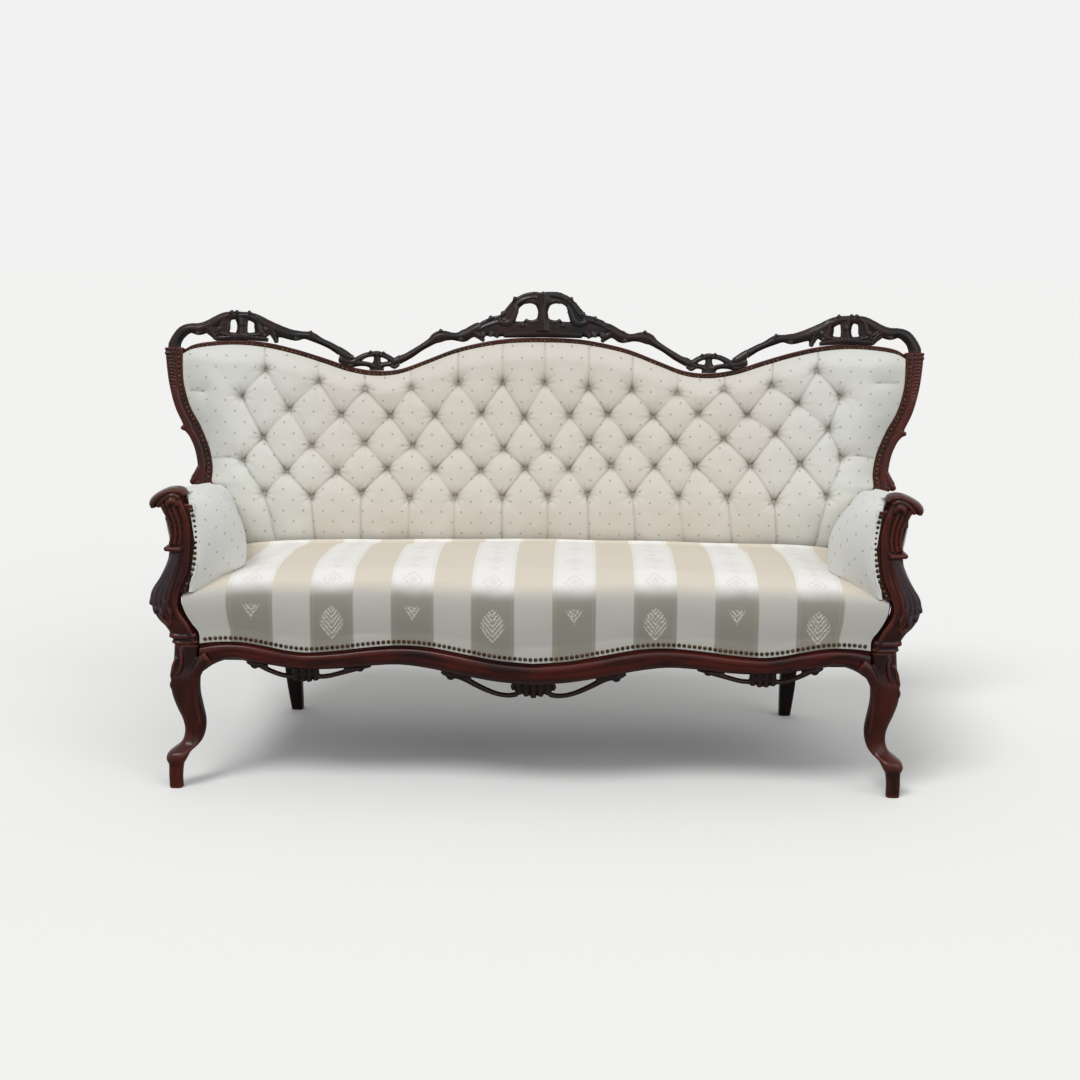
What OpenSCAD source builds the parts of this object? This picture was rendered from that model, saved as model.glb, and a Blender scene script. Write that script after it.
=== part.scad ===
// Conversation sofa with a triple-arched buttoned back, a carved and pierced crest,
// padded arms behind carved scroll fronts, a sprung seat and cabriole front legs.
// Millimetres. The origin is on the floor under the middle of the sofa; the front faces -Y.

/* [Overall] */
// Width over the two top corners of the back
sofa_w = 1940; // [1860:5:2020]
// Height of the crest above the floor
sofa_h = 1100; // [1070:5:1130]
// Depth from the front rail to the back of the crest
sofa_d = 756; // [730:2:790]
// Rake of the back from the upright, in degrees
back_rake = 11; // [9:0.5:13]
// Height of the waist, where the back stiles pass the arms
waist_h = 600; // [585:1:615]

/* [Seat frame] */
// Clear width between the two front legs
seat_w = 1496; // [1450:4:1540]
// Height of the nailed edge at the middle of the front rail
rail_h = 312; // [300:1:325]
// Rise of the wave in the front rail
rail_wave = 35; // [25:1:42]
// Forward bow of the front rail at its middle
rail_bow = 33; // [20:1:42]
// Height of the moulded face below the nails
rail_face = 61; // [54:1:68]
// Thickness of the front rail from front to back
rail_d = 58; // [52:1:64]
// Depth of the step that holds the lower edge of the cover
rebate_d = 20; // [17:0.5:23]
// Height of the hidden part of the rail above the nails
rebate_h = 16; // [13:0.5:19]
// Thickness of the side rails
side_rail_t = 27; // [24:1:30]
// Thickness of the back rail
back_rail_t = 44; // [38:1:48]
// Height of the side and back rails
side_rail_h = 60; // [54:1:64]
// Width of the two stretchers under the springs
brace_w = 36; // [30:1:42]
// Height of the two stretchers under the springs
brace_h = 44; // [38:1:48]
// Length of the two short sides of a corner block
block_leg = 70; // [60:1:80]
// Height of a corner block
block_h = 40; // [34:1:44]
// Diameter of the screws in the corner blocks
screw_d = 5; // [4:0.5:6]

/* [Legs] */
// Width of the front leg where it meets the arm
leg_w = 60; // [56:1:64]
// Sideways sweep of the front leg
leg_sweep = 30; // [24:1:34]
// Width of the back leg at its top
rear_leg_w = 42; // [38:1:46]
// Distance from the middle of the sofa to a back leg
rear_leg_x = 643; // [620:1:665]
// Backward kick of the back leg at the floor
rear_leg_kick = 98; // [80:1:110]

/* [Arms] */
// Height of the carved arm front
arm_h = 684; // [670:1:700]
// Sideways swell of the carved arm front
arm_swell = 30; // [24:1:32]
// Width that the arms gain towards the back
arm_flare = 36; // [30:1:40]
// Drop of the arm from its front to the back
arm_drop = 52; // [44:1:60]
// Width of the arm rail
arm_rail_w = 32; // [28:1:36]
// Height of the arm rail
arm_rail_h = 38; // [34:1:42]
// Thickness of the padding above the arm rail
arm_pad_top = 30; // [26:1:34]
// Reach of the arm padding over the seat
arm_pad_w = 128; // [116:1:136]
// Thickness of the arm's cloth linings
lining_t = 3; // [2:0.5:4]

/* [Back frame] */
// Width of a back stile
stile_w = 44; // [40:1:48]
// Thickness of the back frame
frame_t = 26; // [22:1:30]
// Height by which the stiles stand proud of the frame
stile_proud = 12; // [9:0.5:14]
// Height of the top rail
top_rail_h = 38; // [34:1:44]
// Height of the bottom rail of the back
low_rail_h = 45; // [40:1:50]
// Width of the upright struts inside the back
strut_w = 46; // [40:1:52]

/* [Carving] */
// Thickness of the carved crest
crest_t = 28; // [24:1:32]
// Height by which the crest stands proud of the frame
crest_proud = 8; // [5:0.5:10]
// Width of a plain branch of the crest
branch_w = 16; // [13:0.5:19]
// Drop of the carved aprons below the front rail
apron_drop = 38; // [32:1:44]
// Thickness of the aprons
apron_t = 18; // [14:1:22]
// Width of the curved stems of the aprons
apron_stem = 11; // [9:0.5:13]

/* [Seat upholstery] */
// Height of the front edge of the seat
seat_edge_h = 440; // [432:1:450]
// Rise of the seat's crown above its front edge
seat_crown = 78; // [66:1:84]
// Height of the cloth over the springs
spring_top = 400; // [392:1:404]
// Diameter of a seat spring at its ends
spring_d = 84; // [74:1:92]
// Rows of springs from front to back
spring_rows = 3; // [2:1:3]
// Springs in a row
spring_columns = 8; // [6:2:8]
// Width of a webbing strap
web_w = 50; // [44:1:56]
// Thickness of a webbing strap
web_t = 2; // [1.5:0.25:2.5]

/* [Back upholstery] */
// Fullness of the back padding
pad_t = 58; // [50:1:62]
// Distance between buttons along a row
tuft_x = 115; // [110:1:119]
// Distance between rows of buttons
tuft_z = 70; // [66:1:73]
// Diameter of a covered button
button_d = 18; // [15:0.5:20]
// Thickness of the cover behind the back
cover_t = 2; // [1.5:0.25:3]

/* [Nails] */
// Diameter of a nail head
nail_d = 10; // [9:0.25:10.5]
// Height of a nail head
nail_h = 3.5; // [3:0.25:4.25]
// Distance between nails
nail_pitch = 11.5; // [11:0.25:14]

/* [Hidden] */

// Clearance between pieces that meet on curved faces
gap = 0.3;
// Clearance of soft pieces that lie beside each other
soft_gap = 1.5;
// Overrun of a cutting shape past the wall that it cuts
overrun = 1;
// Thickness of the open-weave cloth sheets
cloth_t = 1;
wood = "#4a2119";
dark_wood = "#2b2224";
pale_cloth = "#dcd8cf";
linen = "#b9a57c";
brass = "#8c6f3e";
steel = "#8a8d90";

half_w = sofa_w / 2;
seat_half = seat_w / 2;
front_y = -sofa_d / 2;
rear_y = sofa_d / 2;
// Length up the raked back from the waist to the top of the crest
crest_v = (sofa_h - waist_h - crest_proud * sin(back_rake)) / cos(back_rake);
// Front face of the back frame at the waist, so that the crest ends at the stated depth
waist_y = rear_y - crest_v * sin(back_rake) - (crest_t - crest_proud) * cos(back_rake);
// Front face of the back frame at a height above the floor
function back_y(z) = waist_y + (z - waist_h) * tan(back_rake);
// Length up the raked back at a height above the floor
function back_v(z) = (z - waist_h) / cos(back_rake);

leg_h = rail_h + rail_wave / 2;
side_top = rail_h + rail_wave;
side_bottom = side_top - side_rail_h;
corner_y = front_y + rail_bow;
leg_x = seat_half + leg_w / 2;
leg_y = corner_y + rail_d / 2;
side_x = seat_half + gap;
back_rail_y = back_y(side_top) - back_rail_t / 2;
stile_front = -stile_proud;
pad_back = -3 * cloth_t - web_t;

function mix(a, b, t) = a + (b - a) * t;
function bend(a, b, c, d, t) = 0.5 * ((2 * b) + (c - a) * t
    + (2 * a - 5 * b + 4 * c - d) * t * t + (3 * b - a - 3 * c + d) * t * t * t);
// Smooth curve through a list of points, with n steps from each point to the next
function curve(p, n) = let (last = len(p) - 1) concat(
    [for (i = [0 : last - 1], k = [0 : n - 1])
        bend(p[max(i - 1, 0)], p[i], p[i + 1], p[min(i + 2, last)], k / n)],
    [p[last]]);
function mirrored(p) = concat(
    [for (i = [len(p) - 1 : -1 : 1]) concat([-p[i][0]], [for (k = [1 : len(p[i]) - 1]) p[i][k]])], p);
function smooth(t) = let (u = min(max(t, 0), 1)) u * u * (3 - 2 * u);
// Outline of a square with rounded corners, two wide between its flats
function bulge(c, power) = sign(c) * pow(abs(c), power);
function round_square(n, power) = [for (i = [0 : n - 1]) let (a = 360 * (i + 0.5) / n)
    [bulge(cos(a), power), bulge(sin(a), power)] / bulge(cos(180 / n), power)];
function middle(p) = [for (k = [0 : 2]) let (s = [for (q = p) q[k]]) s * [for (q = p) 1] / len(p)];

// Solid through a list of rings with the same number of points. Its ends are fans from their hubs.
module loft(rings, hubs = []) {
    k = len(rings[0]);
    n = len(rings);
    points = concat([for (r = rings) each r],
        len(hubs) == 2 ? hubs : [middle(rings[0]), middle(rings[n - 1])]);
    walls = [for (i = [0 : n - 2], j = [0 : k - 1]) let (a = i * k + j, b = i * k + (j + 1) % k)
        each [[a, a + k, b], [b, a + k, b + k]]];
    ends = [for (j = [0 : k - 1]) let (h = (j + 1) % k, top = (n - 1) * k)
        each [[n * k, j, h], [n * k + 1, top + h, top + j]]];
    polyhedron(concat(points), concat(walls, ends));
}

// Solid between two grids of points, as a cushion between its face and its underside
module quilt(face, under) {
    n = len(face) - 1;
    m = len(face[0]) - 1;
    w = m + 1;
    base = (n + 1) * w;
    edge = concat([for (j = [0 : m - 1]) j], [for (i = [0 : n - 1]) i * w + m],
        [for (j = [m : -1 : 1]) n * w + j], [for (i = [n : -1 : 1]) i * w]);
    cells = [for (i = [0 : n - 1], j = [0 : m - 1])
        let (a = i * w + j, b = a + 1, c = a + w, d = c + 1, fold = (i + j) % 2 == 0)
        each fold ? [[a, c, d], [a, d, b]] : [[a, c, b], [b, c, d]]];
    walls = [for (k = [0 : len(edge) - 1]) let (p = edge[k], q = edge[(k + 1) % len(edge)])
        each [[base + p, p, base + q], [base + q, p, q]]];
    polyhedron(concat([for (r = face) each r], [for (r = under) each r]),
        concat(cells, walls, [for (c = cells) [base + c[0], base + c[2], base + c[1]]]));
}

// Ring in a level plane for a station [x, y, z, width, depth]
function level_ring(s, shape, turn = 0) = [for (q = shape) let (a = q[0] * s[3] / 2, b = q[1] * s[4] / 2)
    [s[0] + a * cos(turn) - b * sin(turn), s[1] + a * sin(turn) + b * cos(turn), s[2]]];
module in_back() translate([0, waist_y, waist_h]) rotate([-back_rake, 0, 0]) children();
// Board in the raked back, drawn flat, from one depth behind the frame's face to another
module back_board(from, to) in_back() translate([0, to, 0]) rotate([90, 0, 0])
    linear_extrude(to - from) children();
module right_side() mirror([1, 0, 0]) children();

// Front rail: [share of half the seat width, share of the wave, share of the face, share of the bow]
rail_shares = [
    [0, 0, 1, 0], [0.1, 0.14, 1, 0.12], [0.19, 0.43, 1.02, 0.36], [0.31, 0.8, 1, 0.82],
    [0.4, 0.87, 0.93, 1], [0.49, 0.73, 0.9, 1], [0.58, 0.51, 0.88, 0.91], [0.67, 0.37, 0.84, 0.84],
    [0.73, 0.46, 0.85, 0.84], [0.79, 0.69, 0.88, 0.88], [0.86, 0.94, 0.9, 0.95],
    [0.91, 0.99, 0.85, 1], [0.96, 0.95, 1.02, 1], [1, 0.85, 1.3, 1]
];
// The same as [x, height of the nails, lower edge, front face], for the whole rail
rail_line = [for (s = mirrored(curve(rail_shares, 2)))
    let (x = s[0] * (seat_half - gap), z = rail_h + s[1] * rail_wave)
    [x, z, z - s[2] * rail_face, front_y + s[3] * rail_bow]];
low_table = [for (p = rail_line) [p[0], p[2]]];
bow_table = [for (p = rail_line) [p[0], p[3]]];
function rail_low_z(x) = lookup(x, low_table);
function rail_front_y(x) = lookup(x, bow_table);
// Lip of the rail under the cover, as a share of the rebate's height
lip_share = 0.55;
lip_z = -lip_share * rebate_h;
// Section of the front rail as shares of [thickness, height between the lower edge and the lip]
face_shares = [[0.28, 0], [0.06, 0.2], [0, 0.5], [0.07, 0.85], [0.16, 1]];

module front_seat_rail() color(wood) loft([for (p = rail_line)
    let (x = p[0], lip = p[1] + lip_z, top = p[1] + rebate_h, y = p[3])
    concat([[x, y + rail_d, p[2]], [x, y + rail_d, top], [x, y + rebate_d, top], [x, y + rebate_d, lip]],
        [for (i = [len(face_shares) - 1 : -1 : 0]) let (f = face_shares[i])
            [x, y + f[0] * rail_d, mix(p[2], lip, f[1])]])]);

module side_rail() color(wood)
    translate([side_x, leg_y + rail_d / 2 + gap, side_bottom])
        cube([side_rail_t, back_rail_y - leg_y - rail_d / 2 + back_rail_t / 2, side_rail_h]);
module side_seat_rail_right() side_rail();
module side_seat_rail_left() right_side() side_rail();

// Stile below the waist: [share of the way down to the foot, share of the way out to the waist's place]
stile_foot_shares = [[1, 0], [0.75, 0.04], [0.48, 0.27], [0.22, 0.68]];
// Stile above the waist: [share of the crest height, share of its reach at the top, share of its width]
stile_shares = [
    [0, 0.912, 0.98], [0.09, 0.91, 0.95], [0.18, 0.918, 0.95], [0.25, 0.933, 1],
    [0.285, 0.945, 1.15], [0.313, 0.95, 1.06], [0.4, 0.974, 0.97], [0.51, 0.991, 0.95],
    [0.6, 0.997, 1.02], [0.67, 1, 1.06], [0.7, 1, 1.12]
];
post_top_share = 0.7;
post_v = crest_v * post_top_share;
stile_reach = half_w - stile_shares[len(stile_shares) - 1][2] * stile_w / 2;
stile_foot_v = back_v(side_bottom);
stile_foot_x = seat_half + side_rail_t + gap * 2 + stile_w / 2;
stile_line = curve(concat(
    [for (s = stile_foot_shares) [stile_foot_v * s[0],
        mix(stile_foot_x, stile_reach * stile_shares[0][1], s[1]), stile_w]],
    [for (s = stile_shares) [crest_v * s[0], stile_reach * s[1], stile_w * s[2]]]), 2);
inner_table = [for (s = stile_line) [s[0], s[1] - s[2] / 2]];
// Inner edge of the stile at a length up the back
function stile_inner(v) = lookup(v, inner_table);

module stile() color(wood) in_back() loft([for (s = stile_line)
    let (d = stile_proud + frame_t)
    [for (q = round_square(8, 0.3)) [s[1] + q[0] * s[2] / 2, frame_t - d / 2 + q[1] * d / 2, s[0]]]]);
module back_stile_right() stile();
module back_stile_left() right_side() stile();

module back_seat_rail() color(wood)
    translate([-seat_half, back_rail_y, side_bottom])
        cube([seat_w, back_rail_t, side_rail_h]);

// Front leg: [share of the height, share of the sweep, share of the width]
leg_shares = [
    [0, 1, 0.52], [0.08, 1.02, 0.53], [0.165, 0.97, 0.56], [0.19, 0.95, 0.72], [0.22, 0.9, 0.8],
    [0.25, 0.7, 0.82], [0.3, 0.02, 0.74], [0.37, -0.25, 0.76], [0.455, -0.23, 0.84], [0.56, 0.03, 0.96],
    [0.66, 0.23, 1.03], [0.76, 0.23, 1.06], [0.86, 0.07, 1.04], [1, 0, 1]
];
// Depth of the leg's joint with the arm front, as a share of the rail's thickness
joint_share = 0.96;
module leg() color(wood) loft([for (s = leg_shares)
    level_ring([leg_x + s[1] * leg_sweep, leg_y - s[1] * leg_sweep, leg_h * s[0],
        leg_w * s[2], leg_w * s[2] * joint_share], round_square(12, 0.62))]);
module front_leg_right() leg();
module front_leg_left() right_side() leg();

// Back leg: [share of the height, share of the kick, share of the width]
rear_leg_shares = [[0, 1, 0.7], [0.3, 0.62, 0.92], [0.6, 0.28, 0.98], [0.85, 0.06, 1], [1, 0, 1]];
module rear_leg() color(dark_wood) loft([for (s = rear_leg_shares)
    level_ring([rear_leg_x, back_rail_y + back_rail_t / 2 + s[1] * rear_leg_kick, side_bottom * s[0],
        rear_leg_w * s[2], rear_leg_w * s[2]], round_square(8, 0.4))]);
module rear_leg_right() rear_leg();
module rear_leg_left() right_side() rear_leg();

brace_x_share = 0.455;
rail_rear_y = corner_y + rail_d + gap;
// Back of the front rail behind a piece of some width
function rail_back_y(x, width) = rail_d + gap
    + max(rail_front_y(x - width / 2), rail_front_y(x), rail_front_y(x + width / 2));
// Bar from the front rail to the back rail
module bar(x, width, low, height) let (y = rail_back_y(x, width))
    translate([x - width / 2, y, low]) cube([width, back_rail_y - gap - y, height]);
module seat_braces() color(linen) for (side = [-1, 1])
    bar(side * brace_x_share * seat_half, brace_w, side_top - brace_h, brace_h);

// Place of a screw along a corner block's short side, and depth of its head, as shares of that side
screw_share = 0.36;
head_share = 0.42;
screw_head_share = 1.8;
screw_head_h = screw_d * 0.6;
// Half the difference in height between the two screws of a block
screw_shift = block_h / 5;
module block_shape() linear_extrude(block_h) polygon([[0, 0], [block_leg, 0], [0, block_leg]]);
module screw_place(turned)
    if (turned == 1) translate([gap, screw_share * block_leg, block_h / 2 + screw_shift])
        rotate([0, 90, 0]) children();
    else translate([screw_share * block_leg, gap, block_h / 2 - screw_shift])
        rotate([-90, 0, 0]) children();
module block_at_corners() for (mx = [0, 1]) mirror([mx, 0, 0]) {
    translate([side_x - gap, rail_rear_y, side_top - block_h]) mirror([1, 0, 0]) children();
    translate([side_x - gap, back_rail_y - gap, side_top - block_h])
        mirror([1, 0, 0]) mirror([0, 1, 0]) children();
}
module corner_blocks() color(linen) block_at_corners() difference() {
    block_shape();
    for (turned = [0, 1]) screw_place(turned) {
        translate([0, 0, -overrun]) cylinder(h = block_leg, d = screw_d + 2 * gap, $fn = 24);
        translate([0, 0, head_share * block_leg])
            cylinder(h = block_leg, d = screw_head_share * screw_d + 2 * gap, $fn = 24);
    }
}
module corner_block_screws() color(steel) block_at_corners() for (turned = [0, 1]) screw_place(turned) {
    cylinder(h = head_share * block_leg + gap, d = screw_d, $fn = 24);
    translate([0, 0, head_share * block_leg + gap])
        cylinder(h = screw_head_h, d = screw_head_share * screw_d, $fn = 24);
}

// Seat webbing: lengthways straps lie on the crossways ones and reach under the side rails
web_z = side_bottom - web_t;
spring_pitch_x = 2 * seat_half * 0.91 / spring_columns;
spring_pitch_y = (back_rail_y - rail_rear_y) / (spring_rows + 0.9);
spring_mid_y = (back_rail_y + rail_rear_y) / 2 - spring_pitch_y * 0.1;
function centred(i, n) = i - (n - 1) / 2;
module seat_webbing() color(linen) {
    for (i = [0 : spring_rows - 1])
        translate([-seat_half - side_rail_t / 2,
                spring_mid_y + centred(i, spring_rows) * spring_pitch_y - web_w / 2, web_z])
            cube([seat_w + side_rail_t, web_w, web_t]);
    for (i = [0 : spring_columns - 1])
        bar(centred(i, spring_columns) * spring_pitch_x, web_w, web_z - web_t, web_t);
}
module dust_cover() color("#20201f") translate([0, 0, web_z - web_t - cloth_t]) linear_extrude(cloth_t)
    polygon(concat([for (p = rail_line) [p[0], p[3] + rail_d + gap]],
        [[seat_half + side_rail_t / 2, rail_rear_y], [seat_half + side_rail_t / 2, back_rail_y - gap],
         [-seat_half - side_rail_t / 2, back_rail_y - gap], [-seat_half - side_rail_t / 2, rail_rear_y]]));

// Hourglass of one spring: [share of its diameter, share of its height]
spring_shares = [[1, 0], [0.96, 0.12], [0.72, 0.35], [0.66, 0.5], [0.72, 0.65], [0.96, 0.88], [1, 1]];
spring_h = spring_top - side_bottom - 2 * cloth_t;
module seat_springs() color(steel)
    for (i = [0 : spring_columns - 1], j = [0 : spring_rows - 1])
        translate([centred(i, spring_columns) * spring_pitch_x,
                spring_mid_y + centred(j, spring_rows) * spring_pitch_y, side_bottom])
            rotate_extrude($fn = 24) polygon(concat([[0, 0]],
                [for (s = spring_shares) [s[0] * spring_d / 2, s[1] * spring_h]], [[0, spring_h]]));

hessian_half_share = 0.93;
hessian_front_y = rail_rear_y + rebate_h + soft_gap;
module seat_hessian() color(linen)
    translate([-hessian_half_share * seat_half, hessian_front_y, spring_top - 2 * cloth_t])
        cube([2 * hessian_half_share * seat_half, back_rail_y - web_w / 2 - hessian_front_y, cloth_t]);

// Seat cover by rows from the front edge to the back edge.
// Crown and side swell of each row, as shares of the seat's crown and of the arms' swell
crown_shares = [0, 0, 0, 0, 0.42, 0.76, 0.96, 1, 0.88, 0.6, 0];
swell_shares = [0, 0.1, 1.1, 1.28, 1.2, 1.06, 1, 1, 1, 1, 0.8];
under_swell_share = 0.84;
// The crown across the seat: [share of half the seat width, share of the crown]
across_shares = [
    [0, 1], [0.44, 0.91], [0.7, 0.83], [0.82, 0.7], [0.885, 0.57], [0.94, 0.36], [0.98, 0.16], [1, 0.08]
];
// Rows of the upright border: share of its height, and share of its setback behind the rail's face
border_shares = [0, 0.2, 0.6, 1];
setback_shares = [1, 1, 0.3, 0.6];
cover_set = rebate_d / 4;
seat_rows = len(crown_shares);
crown_at = len(border_shares);
seat_back_y = back_y(seat_edge_h) - pad_t;
seat_foot_y = back_rail_y + back_rail_t / 2;
swell_from_share = 0.86;
// Rows of the top between its front and the back's padding
deep_shares = [0, 0.3, 0.6, 1];
function face_y(i, f) = i < crown_at ? f + cover_set * setback_shares[i]
    : i == crown_at ? f + rail_d * 0.4
    : i < seat_rows - 2 ? mix(corner_y + rail_d * 1.3, seat_back_y - pad_t / 5, deep_shares[i - crown_at - 1])
    : i == seat_rows - 2 ? seat_back_y + pad_t * 0.4 : seat_foot_y;
function under_y(i, f) = i < 2 ? f + rebate_d - gap
    : i == 2 ? f + rail_d + gap
    : i == 3 ? f + rail_d + rebate_h
    : i < crown_at + 2 ? mix(f + rail_d + rebate_h, face_y(crown_at + 2, f), (i - 3) / 3)
    : i < seat_rows - 2 ? face_y(i, f)
    : i == seat_rows - 2 ? seat_back_y + pad_t / 10 : seat_foot_y - back_rail_t / 3;
// Columns follow the front rail, and the outer ones swell outwards
function swelled(x, share) = x + sign(x) * arm_swell * share
    * smooth((abs(x) / seat_half - swell_from_share) / (1 - swell_from_share));
function across(x) = lookup(abs(x) / seat_half, across_shares);
function face_z(i, x, nail_z) = i == 0 ? nail_z + lip_z + gap
    : i < crown_at ? mix(nail_z, seat_edge_h, border_shares[i])
    : i == seat_rows - 1 ? side_top + gap
    : seat_edge_h + seat_crown * crown_shares[i] * across(x);
pocket_edge_share = 0.95;
function under_z(i, x, nail_z) = i == 0 ? nail_z + lip_z + gap
    : i < 3 ? nail_z + rebate_h + gap
    : i == seat_rows - 1 || abs(x) / seat_half > pocket_edge_share ? side_top + gap : spring_top;
seat_face = [for (i = [0 : seat_rows - 1]) [for (p = rail_line)
    [swelled(p[0], swell_shares[i]), face_y(i, p[3]), face_z(i, p[0], p[1])]]];
seat_under = [for (i = [0 : seat_rows - 1]) [for (p = rail_line)
    [swelled(p[0], i < crown_at ? 0 : under_swell_share), under_y(i, p[3]), under_z(i, p[0], p[1])]]];
module seat_pad() color(pale_cloth) quilt(seat_face, seat_under);
// Top of the seat near its side, at a place x and y
seat_slices = [for (i = [3 : seat_rows - 2]) let (row = seat_face[i])
    [row[len(row) - 1][1], [for (p = row) [p[0], p[2]]]]];
function seat_top_z(x, y) = lookup(y, [for (c = seat_slices) [c[0], lookup(x, c[1])]]);

// Arm front: [share of the height above the leg, share of the swell, share of the leg's width, depth]
arm_shares = [
    [0, 0, 1, 1], [0.06, 0.17, 1.08, 1], [0.115, 0.63, 1.02, 1.04], [0.16, 1.1, 1.05, 1.06],
    [0.225, 1.5, 1.06, 1.08], [0.285, 1.55, 1.03, 1.06], [0.365, 1.3, 1.03, 1.02], [0.455, 0.75, 1, 0.97],
    [0.54, 0.4, 0.9, 0.92], [0.588, 0.33, 0.87, 0.9], [0.597, 0.33, 1.08, 1.02], [0.625, 0.33, 1.08, 1.02],
    [0.633, 0.3, 0.88, 0.88], [0.707, 0.17, 0.83, 0.84], [0.79, 0.3, 0.85, 0.86], [0.865, 0.63, 1.08, 1],
    [0.904, 1, 1.3, 1.12], [0.946, 0.93, 1.1, 1.08], [0.977, 0.57, 0.77, 0.9], [1, 0.4, 0.37, 0.6]
];
// The same as [middle, height, width, depth]
arm_line = [for (s = arm_shares)
    [leg_x + s[1] * arm_swell, mix(leg_h, arm_h, s[0]), leg_w * s[2], leg_w * joint_share * s[3]]];
module arm_front() color(wood) {
    loft([for (s = arm_line) level_ring([s[0], leg_y, s[1], s[2], s[3]], round_square(12, 0.62))]);
    loft([for (z = flange_heights) let (x = flange_x(z), back = plain(z, arm_depth_table) / 2 - flange_set)
        [[x, flange_y(z), z], [x + 2 * flange_w, flange_y(z), z], [x + 2 * flange_w, leg_y + back, z],
            [x, leg_y + back, z]]]);
}
module arm_front_right() arm_front();
module arm_front_left() right_side() arm_front();
arm_inner_table = [for (s = arm_line) [s[1], s[0] - s[2] / 2]];
arm_depth_table = [for (s = arm_line) [s[1], s[3]]];
// Flange along the arm front's inner edge, set back from its face, for the nails of the padding
flange_w = 14;
flange_set = flange_w / 2;
flange_low_share = 0.335;
flange_high_share = 0.93;
flange_steps = 12;
flange_heights = [for (k = [0 : flange_steps])
    mix(leg_h, arm_h, mix(flange_low_share, flange_high_share, k / flange_steps))];
collar_share = 0.611;
collar_reach_share = 0.045;
// Value of the arm front by height, as it would be without the collar
function plain(z, table) = let (h = (z - leg_h) / (arm_h - leg_h))
    abs(h - collar_share) > collar_reach_share ? lookup(z, table)
    : mix(lookup(mix(leg_h, arm_h, collar_share - collar_reach_share), table),
        lookup(mix(leg_h, arm_h, collar_share + collar_reach_share), table),
        (h - collar_share) / collar_reach_share / 2 + 0.5);
function flange_x(z) = plain(z, arm_inner_table) - flange_w;
function flange_y(z) = leg_y - plain(z, arm_depth_table) / 2 + flange_set;
// Just behind the arm front, over a height of it
function behind_arm(low, high) = leg_y + gap
    + max(concat([lookup(low, arm_depth_table), lookup(high, arm_depth_table)],
        [for (s = arm_line) s[1] > low && s[1] < high ? s[3] : 0])) / 2;
arm_rear_y = behind_arm(leg_h, arm_h);

arm_rail_top = arm_h - arm_pad_top - arm_rail_h * 0.35;
arm_rail_low = arm_rail_top - arm_rail_h;
arm_rail_x = seat_half + leg_w * 0.82;
function stile_face_y(z) = back_y(z) + stile_front / cos(back_rake) - gap;
// Piece that runs from the arm front to the stile, and gains a share of the flare and of the drop
// on its way. Outline points are [x, height, share].
arm_steps = 8;
module along_arm(outline, from) loft([for (k = [0 : arm_steps]) let (place = k / arm_steps) [for (p = outline)
    let (z = p[1] - arm_drop * place * p[2])
    [p[0] + arm_flare * place * p[2], mix(from, stile_face_y(z), place), z]]]);
arm_rail_front_y = behind_arm(arm_rail_low, arm_rail_top);
module arm_rail() color(wood) along_arm([[arm_rail_x, arm_rail_low, 1], [arm_rail_x, arm_rail_top, 1],
    [arm_rail_x + arm_rail_w, arm_rail_top, 1], [arm_rail_x + arm_rail_w, arm_rail_low, 1]],
    arm_rail_front_y);
// Height of the arm rail's top at a depth
function rail_top_at(y) = arm_rail_top
    - arm_drop * (y - arm_rail_front_y) / (stile_face_y(arm_rail_top - arm_drop) - arm_rail_front_y);
module arm_rail_right() arm_rail();
module arm_rail_left() right_side() arm_rail();

// Linings of an arm: a thin sloped sheet from the side rail up to the arm rail
sheet_low_z = side_top - side_rail_h / 3;
sheet_high_z = arm_rail_low - gap;
sheet_steps = 5;
function sheet_point(low_x, high_x, u) = [mix(low_x, high_x, u), mix(sheet_low_z, sheet_high_z, u), u];
module arm_sheet(low_x, high_x, thick) along_arm(concat(
    [for (k = [0 : sheet_steps]) sheet_point(low_x, high_x, k / sheet_steps)],
    [for (k = [sheet_steps : -1 : 0]) sheet_point(low_x + thick, high_x + thick, k / sheet_steps)]),
    arm_rear_y);
lining_x = side_x + side_rail_t + gap;
function lining_at(z, place) = mix(lining_x, arm_rail_x + arm_flare * place,
    (z - sheet_low_z) / (sheet_high_z - arm_drop * place - sheet_low_z));
module arm_lining() color(linen) arm_sheet(lining_x, arm_rail_x, lining_t);
module arm_lining_right() arm_lining();
module arm_lining_left() right_side() arm_lining();
module arm_outside_cover() color(pale_cloth)
    arm_sheet(lining_x + lining_t + gap, arm_rail_x + arm_rail_w - lining_t, lining_t);
module arm_outside_cover_right() arm_outside_cover();
module arm_outside_cover_left() right_side() arm_outside_cover();

// Arm padding: outline seen from the front, as shares of [reach over the seat, height of the pad]
arm_pad_shares = [
    [0.02, 0], [0, 0.24], [0.03, 0.46], [0.13, 0.66], [0.3, 0.84], [0.52, 0.95], [0.76, 1], [0.97, 0.98]
];
// Its part outside the arm rail: [share of the rail's width, share of the height above the rail]
arm_pad_outer_shares = [[0.4, 0.94], [0.85, 0.82], [1, 0.6], [1, 0.1]];
// Its underside over the seat, as shares of the way back to the lining
arm_pad_under_shares = [0.25, 0.5, 0.75];
// Its side along the lining, as shares of the way up from the seat
arm_pad_side_shares = [0.85, 0.7, 0.55, 0.4, 0.27, 0.14];
// Rings from the arm front's back to the stile: [place along the arm, share of the fullness]
arm_ring_shares = [
    [0, 0.99], [0.03, 0.99], [0.1, 1], [0.4, 0.86], [0.7, 0.7], [0.9, 0.6], [0.97, 0.57], [1, 0.55]
];
arm_pad_z = arm_h - arm_pad_top / 3;
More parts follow.
